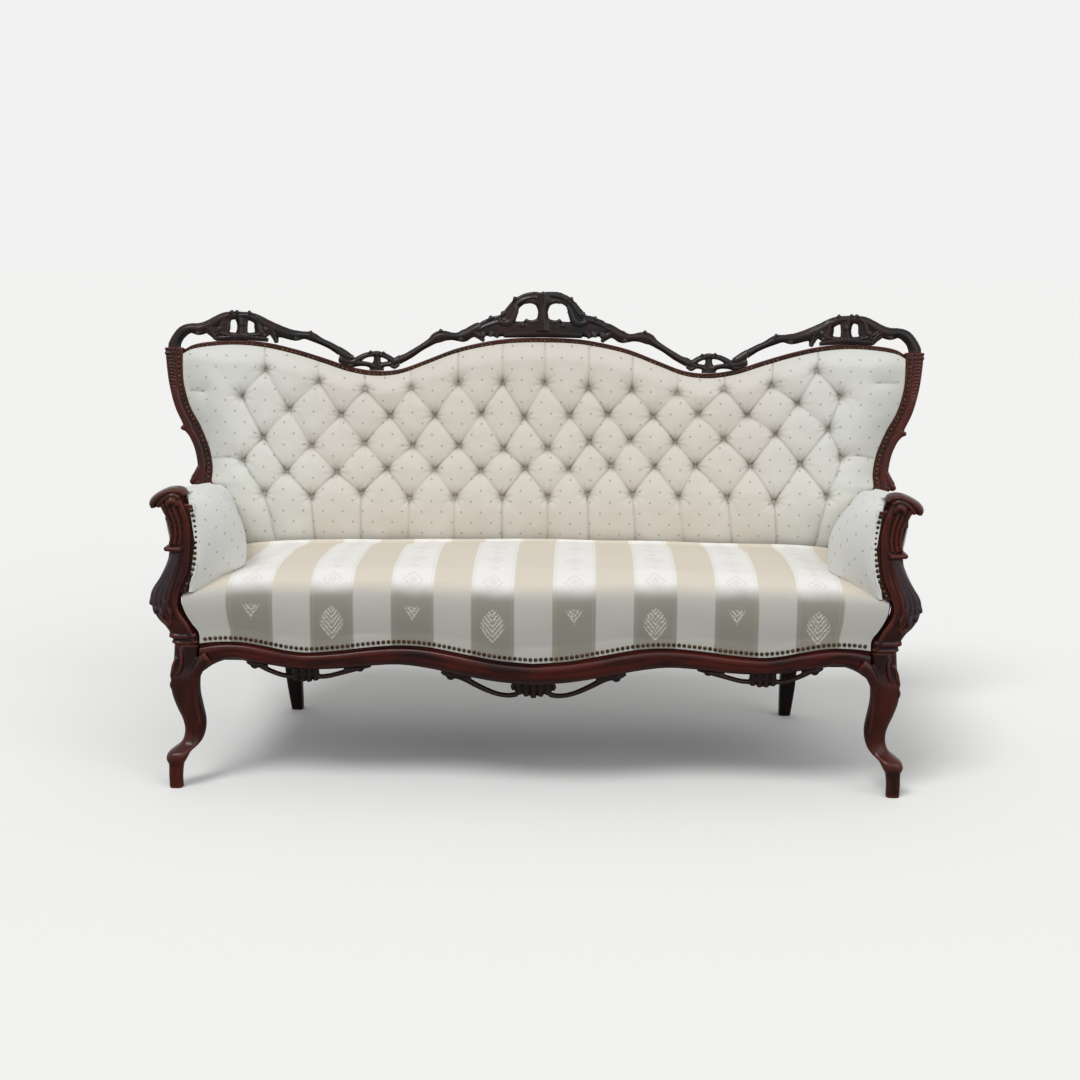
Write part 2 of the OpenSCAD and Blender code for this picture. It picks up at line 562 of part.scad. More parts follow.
// Edge of the back's padding, at the lining of the arm and above it at the stile
function pad_edge_x(v) = let (z = waist_h + v * cos(back_rake))
    min(stile_inner(v) - 3 * gap, z > arm_rail_top - arm_drop + tuft_z / 8 ? half_w
        : lining_at(min(z, sheet_high_z - arm_drop), 1) - 2 * soft_gap);
rim_share = 0.28;
side_rim_share = 0.8;
top_rim_share = 0.86;
// Depth that the arm's padding leaves for the back's, by the distance inwards from that edge
pad_rim_depth = pad_t * rim_share - pad_back + 2 * soft_gap;
pad_depth_table = [
    [-3 * soft_gap, stile_proud + soft_gap], [-2 * soft_gap, pad_rim_depth], [0, pad_rim_depth],
    [pad_t * 0.86, pad_t * side_rim_share - pad_back + 3 * soft_gap],
    [pad_t * 1.72, pad_t - pad_back + 2 * soft_gap]
];
function arm_pad_end(x, z) = back_y(z)
    - lookup(pad_edge_x(back_v(z)) - x, pad_depth_table) / cos(back_rake);
function arm_pad_y(x, z, place) = mix(arm_rear_y, arm_pad_end(x, z), place);
function on_seat(x, y) = [x, seat_top_z(x, y) + 2 * soft_gap];
function arm_pad_outline(place, full, y0) = let (
        x0 = arm_rail_x - soft_gap + arm_flare * place,
        ledge = rail_top_at(arm_pad_y(x0, arm_rail_top - arm_drop * place, place)) + gap,
        reach = arm_pad_w * full, out = arm_rail_w + soft_gap, high = [x0, sheet_high_z - arm_drop * place],
        top_z = arm_pad_z - (1 - full) * arm_pad_w / 4 - arm_drop * place,
        foot = on_seat(lining_at(seat_edge_h, place) - 2 * soft_gap, y0), toe = on_seat(x0 - reach, y0))
    concat(
        [for (p = arm_pad_shares) let (x = x0 - reach * (1 - p[0])) [x, mix(on_seat(x, y0)[1], top_z, p[1])]],
        [for (p = arm_pad_outer_shares) [x0 + out * p[0], mix(ledge, top_z, p[1])]],
        [[x0, ledge], high],
        [for (u = arm_pad_side_shares) mix(foot, high, u)], [foot],
        [for (u = arm_pad_under_shares) on_seat(mix(foot[0], toe[0], u), y0)]);
// In front, the padding lies between the arm fronts: [depth, share of the fullness]
arm_face_y = leg_y - leg_w * joint_share * 0.36;
arm_face_rings = [[arm_face_y, 0.84], [face_y(crown_at, corner_y), 0.95], [arm_rear_y - gap, 0.99]];
function beside_arm(z) = min([for (k = [-1 : 1]) lookup(z + k * leg_w / 5, arm_inner_table)])
    - flange_w - soft_gap;
// Hubs of its ends, where the whole outline is in sight: in front over the seat's side, and behind
// at the rail, as deep as the back's padding is thick
arm_face_hub = [seat_half * 0.94, arm_face_y, mix(seat_edge_h, arm_pad_z, 0.45)];
arm_end_z = arm_rail_top - arm_drop + 3 * soft_gap;
arm_end_hub = [arm_rail_x - 3 * soft_gap + arm_flare, arm_pad_y(0, arm_end_z, 1), arm_end_z];
module arm_pad() color(pale_cloth) loft(
    concat(
        [for (r = arm_face_rings) [for (p = arm_pad_outline(0, r[1], r[0]))
            [min(p[0], beside_arm(p[1])), r[0], p[1]]]],
        [for (s = arm_ring_shares)
            [for (p = arm_pad_outline(s[0], s[1], mix(arm_rear_y, seat_back_y, s[0])))
                [p[0], arm_pad_y(p[0], p[1], s[0]), p[1]]]]),
    [arm_face_hub, arm_end_hub]);
module arm_pad_right() arm_pad();
module arm_pad_left() right_side() arm_pad();

// Top rail of the back: upper edge as [share of half the width, share of the crest height]
top_shares = [
    [0, 0.766], [0.09, 0.76], [0.16, 0.74], [0.23, 0.707], [0.298, 0.657], [0.359, 0.612],
    [0.396, 0.596], [0.433, 0.592], [0.469, 0.598], [0.515, 0.616], [0.572, 0.652], [0.612, 0.676],
    [0.654, 0.699], [0.709, 0.724], [0.754, 0.737], [0.797, 0.743], [0.837, 0.742], [0.868, 0.737],
    [0.903, 0.729], [0.93, 0.716]
];
top_end_v = crest_v * 0.695;
top_end_x = min([for (k = [0 : 4]) stile_inner(top_end_v - top_rail_h * k / 4)]) - gap;
top_line = mirrored([for (s = curve(concat(top_shares, [[top_end_x / half_w, top_end_v / crest_v]]), 2))
    [s[0] * half_w, s[1] * crest_v]]);
function top_v(x) = lookup(x, top_line);
top_chamfer = top_rail_h / 8;
// Drop of the row of nails, and of the padding's edge, below the top of the rail
nail_drop = top_chamfer + nail_d * 0.55;
pad_drop = nail_drop + nail_d * 0.55;
module back_top_rail() color(wood) in_back() loft([for (p = top_line)
    let (x = p[0], v = p[1], low = v - top_rail_h, c = top_chamfer)
    [[x, 0, low], [x, frame_t, low], [x, frame_t, v], [x, c, v], [x, 0, v - c]]]);

low_rail_v = back_v(seat_edge_h);
low_rail_top_v = low_rail_v + low_rail_h;
low_rail_side = [for (k = [0 : 4]) let (v = low_rail_v + low_rail_h * k / 4) [stile_inner(v) - 2 * gap, v]];
module back_low_rail() color(linen) back_board(0, frame_t) polygon(concat(low_rail_side,
    [for (k = [4 : -1 : 0]) [-low_rail_side[k][0], low_rail_side[k][1]]]));

// The struts stand at the two dips of the top rail
strut_share = 0.433;
strut_x = strut_share * half_w;
strut_top_v = top_v(strut_x) - top_rail_h - gap;
module back_struts() color(linen) for (side = [-1, 1]) back_board(0, frame_t)
    translate([side * strut_x - strut_w / 2, low_rail_top_v + gap])
        square([strut_w, strut_top_v - low_rail_top_v - gap]);

// Webbing of the back: upright straps on the frame's face, level straps on the upright ones
web_columns = 12;
web_pitch = tuft_x * 1.02;
level_shares = [0.05, 0.3, 0.55, 0.8];
web_floor_v = low_rail_v + low_rail_h / 3;
module back_webbing() color(linen) {
    for (i = [0 : web_columns]) let (x = centred(i, web_columns + 1) * web_pitch,
            top = min(top_v(x - web_w / 2), top_v(x + web_w / 2)) - top_rail_h / 2)
        back_board(-web_t / 2, 0) translate([x - web_w / 2, web_floor_v]) square([web_w, top - web_floor_v]);
    for (s = level_shares) let (v = mix(low_rail_top_v, strut_top_v - web_w, s),
            half = min(stile_inner(v), stile_inner(v + web_w)) - soft_gap)
        back_board(-web_t, -web_t * 0.45) translate([-half, v]) square([2 * half, web_w]);
}

// Padding of the back: rows of the tufting grid run between the lowest row of buttons and the highest
row_one_share = -0.04;
button_v = row_one_share * crest_v;
button_rows = 5;
pad_low_v = low_rail_v + low_rail_h * 0.4;
columns = 24;
grid_x = tuft_x / 4;
function pad_top_v(x) = top_v(x) - pad_drop;
// Rows below the buttons, among them (two to each row of buttons) and above them
low_rows = 2;
tuft_rows = 2 * (button_rows - 1) + 1;
high_shares = [0.5, 0.86, 1];
row_count = low_rows + tuft_rows + len(high_shares);
tuft_h = (button_rows - 1) * tuft_z;
// Height of a grid row at a place across the back
function row_v(i, x) = i < low_rows ? mix(pad_low_v, button_v, i / low_rows)
    : i < low_rows + tuft_rows ? button_v + (i - low_rows) * tuft_z / 2
    : mix(button_v + tuft_h, pad_top_v(x), high_shares[i - low_rows - tuft_rows]);
// Fullness of the padding at a place: buttons pull it in, and it rises between them
button_share = 0.4;
pleat_share = 0.72;
function tuft(x, v) = let (u = 2 * x / tuft_x, w = min(max((v - button_v) / tuft_z, 0), button_rows - 1),
        pull = 0.5 - 0.5 * cos(180 * u) * cos(180 * w),
        plain = smooth((abs(x) / tuft_x - 6.5) / 0.35),
        away = max(button_v - v, v - button_v - tuft_h, 0) / tuft_z)
    mix(mix(button_share, pleat_share, min(away, 1)), 1, mix(pow(pull, 0.6), 1, plain));
function rim(i, j, n) = let (
        side = min(j, n - j), low = min(i, low_rows) / low_rows, high = row_count - 1 - i)
    (side == 0 ? rim_share : side == 1 ? side_rim_share : 1)
    * (high == 0 ? rim_share : high == 1 ? top_rim_share : 1) * mix(rim_share, 1, low);
outer_steps = 3;
pad_columns = 2 * (columns + outer_steps);
// Columns keep to the buttons' spacing and open out to the stiles at both ends
function pad_x(j, v) = let (k = j - columns - outer_steps, a = abs(k), reach = columns * grid_x)
    sign(k) * (a <= columns ? a * grid_x : mix(reach, pad_edge_x(v), (a - columns) / outer_steps));
function pad_v(i, j) = let (k = abs(j - columns - outer_steps), reach = columns * grid_x)
    row_v(i, k <= columns ? k * grid_x : mix(reach, top_end_x, (k - columns) / outer_steps));
pad_face = [for (i = [0 : row_count - 1]) [for (j = [0 : pad_columns])
    let (v = pad_v(i, j), x = pad_x(j, v)) [x, pad_back - pad_t * tuft(x, v) * rim(i, j, pad_columns), v]]];
module back_pad() color(pale_cloth) in_back() padded_back(pad_face, pad_back);
// Solid between a grid and a flat back that keeps only the grid's outline
module padded_back(face, back) {
    n = len(face) - 1;
    m = len(face[0]) - 1;
    w = m + 1;
    front = [for (r = face) each r];
    base = len(front);
    edge = concat([for (j = [0 : m - 1]) j], [for (i = [0 : n - 1]) i * w + m],
        [for (j = [m : -1 : 1]) n * w + j], [for (i = [n : -1 : 1]) i * w]);
    count = len(edge);
    cells = [for (i = [0 : n - 1], j = [0 : m - 1])
        let (a = i * w + j, b = a + 1, c = a + w, d = c + 1, fold = (i + j) % 2 == 0)
        each fold ? [[a, c, d], [a, d, b]] : [[a, c, b], [b, c, d]]];
    walls = [for (k = [0 : count - 1]) let (h = (k + 1) % count)
        each [[base + k, edge[k], base + h], [base + h, edge[k], edge[h]]]];
    // The flat back, in upright strips, with a fan at each end
    low = [for (j = [0 : m]) base + j];
    high = [for (j = [0 : m]) base + 2 * m + n - j];
    strips = [for (j = [1 : m - 2]) each [[low[j], low[j + 1], high[j]], [low[j + 1], high[j + 1], high[j]]]];
    right = [for (i = [0 : n]) base + m + i];
    left = [for (i = [0 : n]) base + (count - i) % count];
    fans = concat(
        [for (i = [0 : n - 1]) [low[m - 1], right[i], right[i + 1]]], [[low[m - 1], right[n], high[m - 1]]],
        [for (i = [0 : n - 1]) [low[1], left[i + 1], left[i]]], [[low[1], high[1], left[n]]]);
    polyhedron(concat(front, [for (e = edge) [front[e][0], back, front[e][2]]]),
        concat(cells, walls, strips, fans));
}

// Covered buttons, each set point down in its dimple: [share of the diameter, share of the length]
button_shares = [[0, 0], [0.5, 0.62], [0.36, 1], [0, 1]];
button_len = 0.8 * button_d;
button_t = pad_back - pad_t * button_share - gap;
module button() rotate([90, 0, 0]) rotate_extrude($fn = 24)
    polygon([for (s = button_shares) [s[0] * button_d, s[1] * button_len]]);
module back_buttons() color(pale_cloth) in_back()
    for (r = [0 : button_rows - 1]) let (n = r % 2 == 0 ? 13 : 12)
        for (i = [0 : n - 1]) translate([centred(i, n) * tuft_x, button_t, button_v + r * tuft_z]) button();

// Sheet over the back's frame: from a length up the back, past the stiles' inner edges by a width,
// and up to a drop below the top rail's edge
sheet_columns = 40;
side_steps = 10;
module back_sheet(low_v, past, drop) {
    side = [for (k = [0 : side_steps]) let (v = mix(low_v, top_end_v - drop, k / side_steps))
        [stile_inner(v) + past, v]];
    top = [for (k = [sheet_columns : -1 : -sheet_columns]) let (x = k / sheet_columns * (top_end_x - nail_d))
        [x, top_v(x) - drop]];
    polygon(concat(side, top, [for (k = [side_steps : -1 : 0]) [-side[k][0], side[k][1]]]));
}
module back_hessian() color(linen) back_board(-web_t - 2 * cloth_t, -web_t - cloth_t)
    back_sheet(pad_low_v, -soft_gap, top_rail_h / 2);
module back_outside_cover() color(pale_cloth) back_board(frame_t + gap, frame_t + gap + cover_t)
    back_sheet(stile_foot_v + side_rail_h * 0.75, stile_w / 3, top_rail_h / 3);

// Carved crest, drawn flat. Points are [share of half the width, share of the crest height].
function crest_point(s) = [s[0] * half_w, s[1] * crest_v];
// Branch with its own width at each point: [share, share, share of the branch width]
module branch(shares) {
    line = curve([for (s = shares) concat(crest_point(s), [s[2] * branch_w])], 3);
    last = len(line) - 1;
    sides = [for (i = [0 : last]) let (a = line[max(i - 1, 0)], b = line[min(i + 1, last)],
            d = [b[0] - a[0], b[1] - a[1]], n = [-d[1], d[0]] / norm(d), p = [line[i][0], line[i][1]])
        [p + n * line[i][2] / 2, p - n * line[i][2] / 2]];
    back_board(-crest_proud, crest_t - crest_proud)
        polygon(concat([for (s = sides) s[0]], [for (i = [last : -1 : 0]) sides[i][1]]));
}
module carved(shares) back_board(-crest_proud, crest_t - crest_proud)
    polygon([for (s = shares) crest_point(s)]);
// Cutting shape through the crest
module cutter(points) back_board(-crest_proud - overrun, crest_t - crest_proud + overrun) polygon(points);
hole_steps = 14;
module hole(s, rx, ry) cutter([for (i = [0 : hole_steps - 1]) let (a = 360 * i / hole_steps)
    crest_point(s) + branch_w * [rx * cos(a), ry * sin(a)]]);
// Takes away everything below the top rail's upper edge and the tops of the stiles
stile_top_x = top_end_x + 2 * gap;
module below_crest() cutter(concat([for (p = top_line) [p[0], p[1] + gap]],
    [[stile_top_x, post_v + gap], [half_w + overrun, post_v + gap], [half_w + overrun, 0],
     [-half_w - overrun, 0], [-half_w - overrun, post_v + gap], [-stile_top_x, post_v + gap]]));
// Joints between the crest's pieces, as shares of half the width
valley_in_share = 0.378;
valley_out_share = 0.54;
module beyond(from_x, to_x) cutter([[from_x, 0], [to_x, 0], [to_x, crest_v], [from_x, crest_v]]);
module both_sides() {
    children();
    right_side() children();
}

crest_half_shares = [
    [0, 0.74], [0.1, 0.74], [0.1, 0.788], [0.128, 0.79], [0.16, 0.8], [0.178, 0.826], [0.148, 0.868],
    [0.135, 0.884], [0.11, 0.896], [0.1, 0.915], [0.084, 0.936], [0.07, 0.962], [0.055, 0.985],
    [0.036, 0.998], [0.02, 0.994], [0.012, 1], [0, 1]
];
module crest_centre() color(dark_wood) difference() {
    union() {
        carved(concat(crest_half_shares, [for (k = [len(crest_half_shares) - 2 : -1 : 1])
            [-crest_half_shares[k][0], crest_half_shares[k][1]]]));
        both_sides() {
            branch([[0.13, 0.85, 2], [0.16, 0.822, 2.2], [0.19, 0.795, 1.9], [0.215, 0.777, 1.5],
                [0.24, 0.768, 1.6], [0.27, 0.764, 1.9], [0.295, 0.742, 1.2], [0.322, 0.713, 0.9],
                [0.348, 0.677, 1.1], [0.39, 0.64, 1.3]]);
            branch([[0.19, 0.8, 0.9], [0.178, 0.77, 0.9], [0.163, 0.735, 0.6]]);
        }
    }
    both_sides() {
        hole([0.036, 0.9], 1.05, 1.9);
        hole([0.048, 0.868], 0.85, 1.5);
        beyond(half_w * valley_in_share - gap / 2, half_w);
    }
    below_crest();
}
module crest_shoulder() color(dark_wood) difference() {
    union() {
        carved([
            [0.848, 0.72], [0.85, 0.77], [0.875, 0.8], [0.876, 0.852], [0.852, 0.874], [0.83, 0.89],
            [0.802, 0.885], [0.79, 0.89], [0.775, 0.886], [0.755, 0.87], [0.732, 0.846], [0.7, 0.82],
            [0.7, 0.765], [0.725, 0.77], [0.738, 0.72]
        ]);
        branch([[0.976, 0.68, 2.5], [0.974, 0.73, 1.9], [0.965, 0.772, 1.35], [0.948, 0.8, 1.4],
            [0.925, 0.798, 1.6], [0.905, 0.796, 2], [0.88, 0.815, 1.9], [0.84, 0.84, 2]]);
        branch([[0.878, 0.81, 1], [0.868, 0.765, 0.9], [0.861, 0.71, 0.6]]);
        branch([[0.715, 0.8, 1], [0.706, 0.755, 0.8], [0.703, 0.7, 0.6]]);
        branch([[0.74, 0.83, 2.4], [0.69, 0.79, 1.7], [0.664, 0.77, 1.3], [0.634, 0.77, 1.1],
            [0.607, 0.762, 1.5], [0.575, 0.733, 0.9], [0.52, 0.673, 1.3]]);
    }
    hole([0.822, 0.808], 0.42, 1.1);
    hole([0.773, 0.804], 0.4, 1.05);
    beyond(0, half_w * valley_out_share + gap / 2);
    below_crest();
}
module crest_shoulder_right() crest_shoulder();
module crest_shoulder_left() right_side() crest_shoulder();
module crest_valley() color(dark_wood) difference() {
    carved([
        [0.36, 0.58], [0.36, 0.69], [0.392, 0.655], [0.405, 0.654], [0.421, 0.68], [0.44, 0.69],
        [0.458, 0.683], [0.472, 0.667], [0.492, 0.652], [0.5, 0.676], [0.514, 0.69], [0.56, 0.71], [0.56, 0.6]
    ]);
    hole([0.459, 0.652], 0.5, 0.55);
    hole([0.415, 0.651], 0.5, 0.5);
    beyond(0, half_w * valley_in_share + gap / 2);
    beyond(half_w * valley_out_share - gap / 2, half_w);
    below_crest();
}
module crest_valley_right() crest_valley();
module crest_valley_left() right_side() crest_valley();

// Aprons under the front rail. Points are [share of half the seat width, share of the drop].
module apron(x_share, shares, block) {
    x = x_share * seat_half;
    base = rail_low_z(x);
    // The board stands under the thick of the rail where it is bowed least and most
    y = max([for (s = shares) rail_front_y(s[0] * seat_half)]) + rail_d * 0.32;
    line = curve([for (s = shares) [s[0] * seat_half, base + s[1] * apron_drop]], 3);
    last = len(line) - 1;
    sides = [for (i = [0 : last]) let (a = line[max(i - 1, 0)], b = line[min(i + 1, last)], d = b - a,
            n = [-d[1], d[0]] / norm(d)) [line[i] + n * apron_stem / 2, line[i] - n * apron_stem / 2]];
    color(dark_wood) difference() {
        union() {
            upright_board(y, apron_t)
                polygon(concat([for (s = sides) s[0]], [for (i = [last : -1 : 0]) sides[i][1]]));
            upright_board(y, apron_t)
                polygon([for (b = block) [x + b[0] * seat_half, base + b[1] * apron_drop]]);
        }
        upright_board(y - overrun, apron_t + 2 * overrun)
            polygon(concat([for (p = rail_line) [p[0], p[2] - gap]],
                [[seat_half, seat_edge_h], [-seat_half, seat_edge_h]]));
    }
}
module upright_board(y, thick) translate([0, y + thick, 0]) rotate([90, 0, 0])
    linear_extrude(thick) children();
block_shares = [[-0.058, 0.2], [-0.06, -0.45], [-0.04, -0.92], [-0.02, -1.02], [0.02, -1.02],
    [0.04, -0.92], [0.06, -0.45], [0.058, 0.2]];
side_block_shares = [[-0.04, 0.2], [-0.042, -0.3], [-0.028, -0.75], [0, -0.85], [0.028, -0.75],
    [0.042, -0.3], [0.04, 0.2]];
apron_half_shares = [[0, -0.86], [0.06, -0.9], [0.12, -0.82], [0.17, -0.4], [0.205, 0.08], [0.225, 0.15],
    [0.25, 0.3], [0.275, 0.75]];
side_apron_shares = [[0.48, 0.5], [0.505, 0.02], [0.525, -0.1], [0.545, 0.02], [0.575, -0.3], [0.62, -0.6],
    [0.66, -0.72], [0.686, -0.72], [0.72, -0.7], [0.76, -0.55], [0.8, -0.25], [0.83, 0.1], [0.85, 0.08],
    [0.87, 0.7]];
module apron_centre() apron(0, mirrored(apron_half_shares), block_shares);
module side_apron() apron(0.686, side_apron_shares, side_block_shares);
module apron_right() side_apron();
module apron_left() right_side() side_apron();

// Places every so far along a line of points
function spaced(line, pitch) = let (
        steps = [for (i = [1 : len(line) - 1]) norm(line[i] - line[i - 1])],
        sums = [for (i = 0, s = 0; i <= len(steps); s = s + (i < len(steps) ? steps[i] : 0), i = i + 1) s],
        total = sums[len(sums) - 1], n = floor(total / pitch),
        tracks = [for (k = [0 : len(line[0]) - 1]) [for (i = [0 : len(line) - 1]) [sums[i], line[i][k]]]])
    [for (i = [0 : n]) let (s = total * i / n) [for (t = tracks) lookup(s, t)]];
module nail() cylinder(h = nail_h, r1 = nail_d / 2, r2 = nail_d / 5, $fn = 16);

// Nails of the front rail, on the lower edge of the seat's cover
nail_end_share = 0.985;
module seat_nails() color(brass) {
    line = [for (p = rail_line) if (abs(p[0]) < seat_half * nail_end_share) [p[0], p[1], p[3]]];
    for (p = spaced(line, nail_pitch)) let (
            ahead = rail_front_y(p[0] + nail_d) - rail_front_y(p[0] - nail_d),
            turn = atan2(ahead, 2 * nail_d))
        translate([p[0], p[2] + cover_set - gap, p[1]]) rotate([0, 0, turn]) rotate([90, 0, 0]) nail();
}

// Nails of the back: up the inner edge of each stile and along the top rail
stile_nail_x = stile_w * 0.24;
stile_nail_steps = 20;
stile_nail_low_v = back_v(arm_pad_z - arm_drop);
module back_nails() color(brass) in_back() {
    side = [for (k = [0 : stile_nail_steps])
        let (v = mix(stile_nail_low_v, top_end_v - top_rail_h / 3, k / stile_nail_steps))
        [stile_inner(v) + stile_nail_x, v]];
    top = [for (p = top_line) if (abs(p[0]) < top_end_x - nail_d) [p[0], p[1] - nail_drop]];
    both_sides() for (p = spaced(side, nail_pitch))
        translate([p[0], stile_front - gap, p[1]]) rotate([90, 0, 0]) nail();
    for (p = spaced(top, nail_pitch)) translate([p[0], -gap, p[1]]) rotate([90, 0, 0]) nail();
}

// Nails of an arm front, down the flange beside the arm's padding
arm_nail_low_share = 0.36;
arm_nail_high_share = 0.86;
module arm_nails() color(brass) {
    line = [for (k = [0 : flange_steps])
        let (z = mix(leg_h, arm_h, mix(arm_nail_low_share, arm_nail_high_share, k / flange_steps)))
        [flange_x(z) + nail_d / 2, z]];
    for (p = spaced(line, nail_pitch))
        let (y = min([for (k = [-1 : 1]) flange_y(p[1] + k * nail_d / 2)]) - gap)
        translate([p[0], y, p[1]]) rotate([90, 0, 0]) nail();
}
module arm_nails_right() arm_nails();
module arm_nails_left() right_side() arm_nails();

front_leg_left();
front_leg_right();
rear_leg_left();
rear_leg_right();
front_seat_rail();
back_seat_rail();
side_seat_rail_left();
side_seat_rail_right();
seat_braces();
corner_blocks();
corner_block_screws();
seat_webbing();
seat_springs();
seat_hessian();
seat_pad();
dust_cover();
arm_front_left();
arm_front_right();
arm_rail_left();
arm_rail_right();
arm_lining_left();
arm_lining_right();
arm_pad_left();
arm_pad_right();
arm_outside_cover_left();
arm_outside_cover_right();
back_stile_left();
back_stile_right();
back_top_rail();
back_low_rail();
back_struts();
back_webbing();
back_hessian();
back_pad();
back_buttons();
back_outside_cover();
crest_centre();
crest_shoulder_left();
crest_shoulder_right();
crest_valley_left();
crest_valley_right();
apron_centre();
apron_left();
apron_right();
seat_nails();
back_nails();
arm_nails_left();
arm_nails_right();
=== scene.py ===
# Looks of the long conversation sofa, piece by piece, around its packed construction.
# Metres. +Z is up, +X is to the right and the front of the seat faces -Y.
import math

import bmesh
import bpy
import numpy as np
from mathutils import Matrix, Vector, noise


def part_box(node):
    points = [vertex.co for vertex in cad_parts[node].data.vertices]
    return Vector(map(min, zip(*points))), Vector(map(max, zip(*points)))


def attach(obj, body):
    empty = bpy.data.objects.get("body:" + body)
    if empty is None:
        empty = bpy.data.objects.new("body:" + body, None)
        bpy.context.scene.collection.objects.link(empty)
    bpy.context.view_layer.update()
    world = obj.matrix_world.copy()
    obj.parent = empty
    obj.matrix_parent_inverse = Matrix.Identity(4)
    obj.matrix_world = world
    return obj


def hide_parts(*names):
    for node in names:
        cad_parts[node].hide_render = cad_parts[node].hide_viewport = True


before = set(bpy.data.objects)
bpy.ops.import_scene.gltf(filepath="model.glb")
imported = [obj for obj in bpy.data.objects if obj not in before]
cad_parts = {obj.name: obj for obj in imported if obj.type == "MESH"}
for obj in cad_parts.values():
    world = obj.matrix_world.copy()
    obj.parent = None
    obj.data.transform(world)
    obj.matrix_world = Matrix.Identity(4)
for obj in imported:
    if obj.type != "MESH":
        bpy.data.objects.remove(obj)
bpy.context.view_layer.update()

# Camera
# The photograph was taken from the front at standing height, a little to the right
# of the middle, and looks slightly down on the seat.
scene = bpy.context.scene
scene.view_settings.view_transform = "Standard"
eye = bpy.data.objects.new("eye", bpy.data.cameras.new("eye"))
scene.collection.objects.link(eye)
scene.camera = eye
eye.data.sensor_width = 36
eye.data.lens = 55.77
eye.data.clip_end = 200
yaw, pitch, roll = math.radians(-1.45), math.radians(10.1), math.radians(0.33)
ahead = Vector((math.sin(yaw) * math.cos(pitch), math.cos(yaw) * math.cos(pitch), -math.sin(pitch)))
level = Vector((math.cos(yaw), -math.sin(yaw), 0))
upward = level.cross(ahead)
right = level * math.cos(roll) + upward * math.sin(roll)
upward = upward * math.cos(roll) - level * math.sin(roll)
eye_place = Matrix.Translation((0.105, -3.966, 1.222))
eye.matrix_world = eye_place @ Matrix((right, upward, -ahead)).transposed().to_4x4()


# Room
# A plain pale floor that runs on to the horizon, an even white sky, and two broad soft
# lamps. The floor throws less light up than it shows, as the ground at a doorstep does.
class Wire:
    """A socket of a finish. Arithmetic on it adds Math nodes."""

    def __init__(self, finish, socket):
        self.finish, self.socket = finish, socket

    def maths(self, operation, *values):
        return self.finish.node("Math", dict(enumerate(values)), operation=operation)

    def __add__(self, other):
        return self.maths("ADD", self, other)

    def __radd__(self, other):
        return self.maths("ADD", other, self)

    def __sub__(self, other):
        return self.maths("SUBTRACT", self, other)

    def __rsub__(self, other):
        return self.maths("SUBTRACT", other, self)

    def __mul__(self, other):
        return self.maths("MULTIPLY", self, other)

    def __truediv__(self, other):
        return self.maths("DIVIDE", self, other)

    def __pow__(self, other):
        return self.maths("POWER", self, other)

    def __gt__(self, other):
        return self.maths("GREATER_THAN", self, other)

    def __abs__(self):
        return self.maths("ABSOLUTE", self)

    def wave(self):
        return self.maths("SINE", self)

    def fraction(self):
        return self.maths("FRACT", self)

    def clamped(self):
        return self.finish.node("Clamp", {0: self})

    def step(self, low, high):
        """From 0 below one value to 1 above another, smoothly."""
        return self.finish.node("MapRange", {0: self, 1: low, 2: high}, interpolation_type="SMOOTHSTEP")


class Finish:
    """A material that is put together node by node."""

    def __init__(self, tree):
        self.tree = tree
        tree.nodes.clear()

    def node(self, kind, values=(), out=0, **settings):
        made = self.tree.nodes.new("ShaderNode" + kind)
        for key, value in settings.items():
            setattr(made, key, value)
        for key, value in dict(values).items():
            if isinstance(value, Wire):
                self.tree.links.new(value.socket, made.inputs[key])
            else:
                made.inputs[key].default_value = value
        return Wire(self, made.outputs[out]) if made.outputs else made

    def surface(self, kind, values):
        self.node("OutputMaterial", {0: self.node(kind, values)})

    def bump(self, strength, distance, height):
        return self.node("Bump", {"Strength": strength, "Distance": distance, "Height": height})

    def mix(self, share, first, second):
        """One colour turning into another as the share goes from 0 to 1."""
        return self.node("Mix", {0: share, 6: first, 7: second}, 2, data_type="RGBA")

    def cloud(self, at, scale, detail=2.0, rough=0.5):
        return self.node("TexNoise", {"Vector": at, "Scale": scale, "Detail": detail, "Roughness": rough})

    def stretched(self, at, scale):
        return self.node("Mapping", {"Vector": at, "Scale": scale})

    def parts(self, at):
        """The three parts of a place, each as a value."""
        split = self.node("SeparateXYZ", {0: at}).socket.node
        return [Wire(self, socket) for socket in split.outputs]


def started(name):
    """A new material, and its finish that is still to be put together."""
    material = bpy.data.materials.new(name)
    material.use_nodes = True
    return material, Finish(material.node_tree)


def rgb(code):
    """A colour as written in sRGB, such as d8d2c8, in linear light."""
    parts = [int(code[i:i + 2], 16) / 255 for i in (0, 2, 4)]
    return (*[p / 12.92 if p < 0.04045 else ((p + 0.055) / 1.055) ** 2.4 for p in parts], 1)


paper, lit_floor = rgb("f2f2f2"), rgb("fcfcfb")
floor_mesh = bpy.data.meshes.new("floor")
bm = bmesh.new()
bmesh.ops.create_grid(bm, x_segments=1, y_segments=1, size=60)
bm.to_mesh(floor_mesh)
bm.free()
floor = bpy.data.objects.new("floor", floor_mesh)
scene.collection.objects.link(floor)
floor_look, ground = started("floor")
floor_mesh.materials.append(floor_look)
ground.surface("BsdfDiffuse", {"Color": ground.mix(ground.node("LightPath"), rgb("a9a9a8"), lit_floor)})
scene.world = bpy.data.worlds.new("room")
scene.world.use_nodes = True
sky = Finish(scene.world.node_tree)
seen = sky.node("LightPath", out="Is Camera Ray") + sky.node("LightPath", out="Is Glossy Ray")
sky.node("OutputWorld", {0: sky.node("Background", {
    "Color": sky.mix(seen.clamped(), (1, 1, 1, 1), paper), "Strength": seen.clamped() * 0.58 + 0.42})})
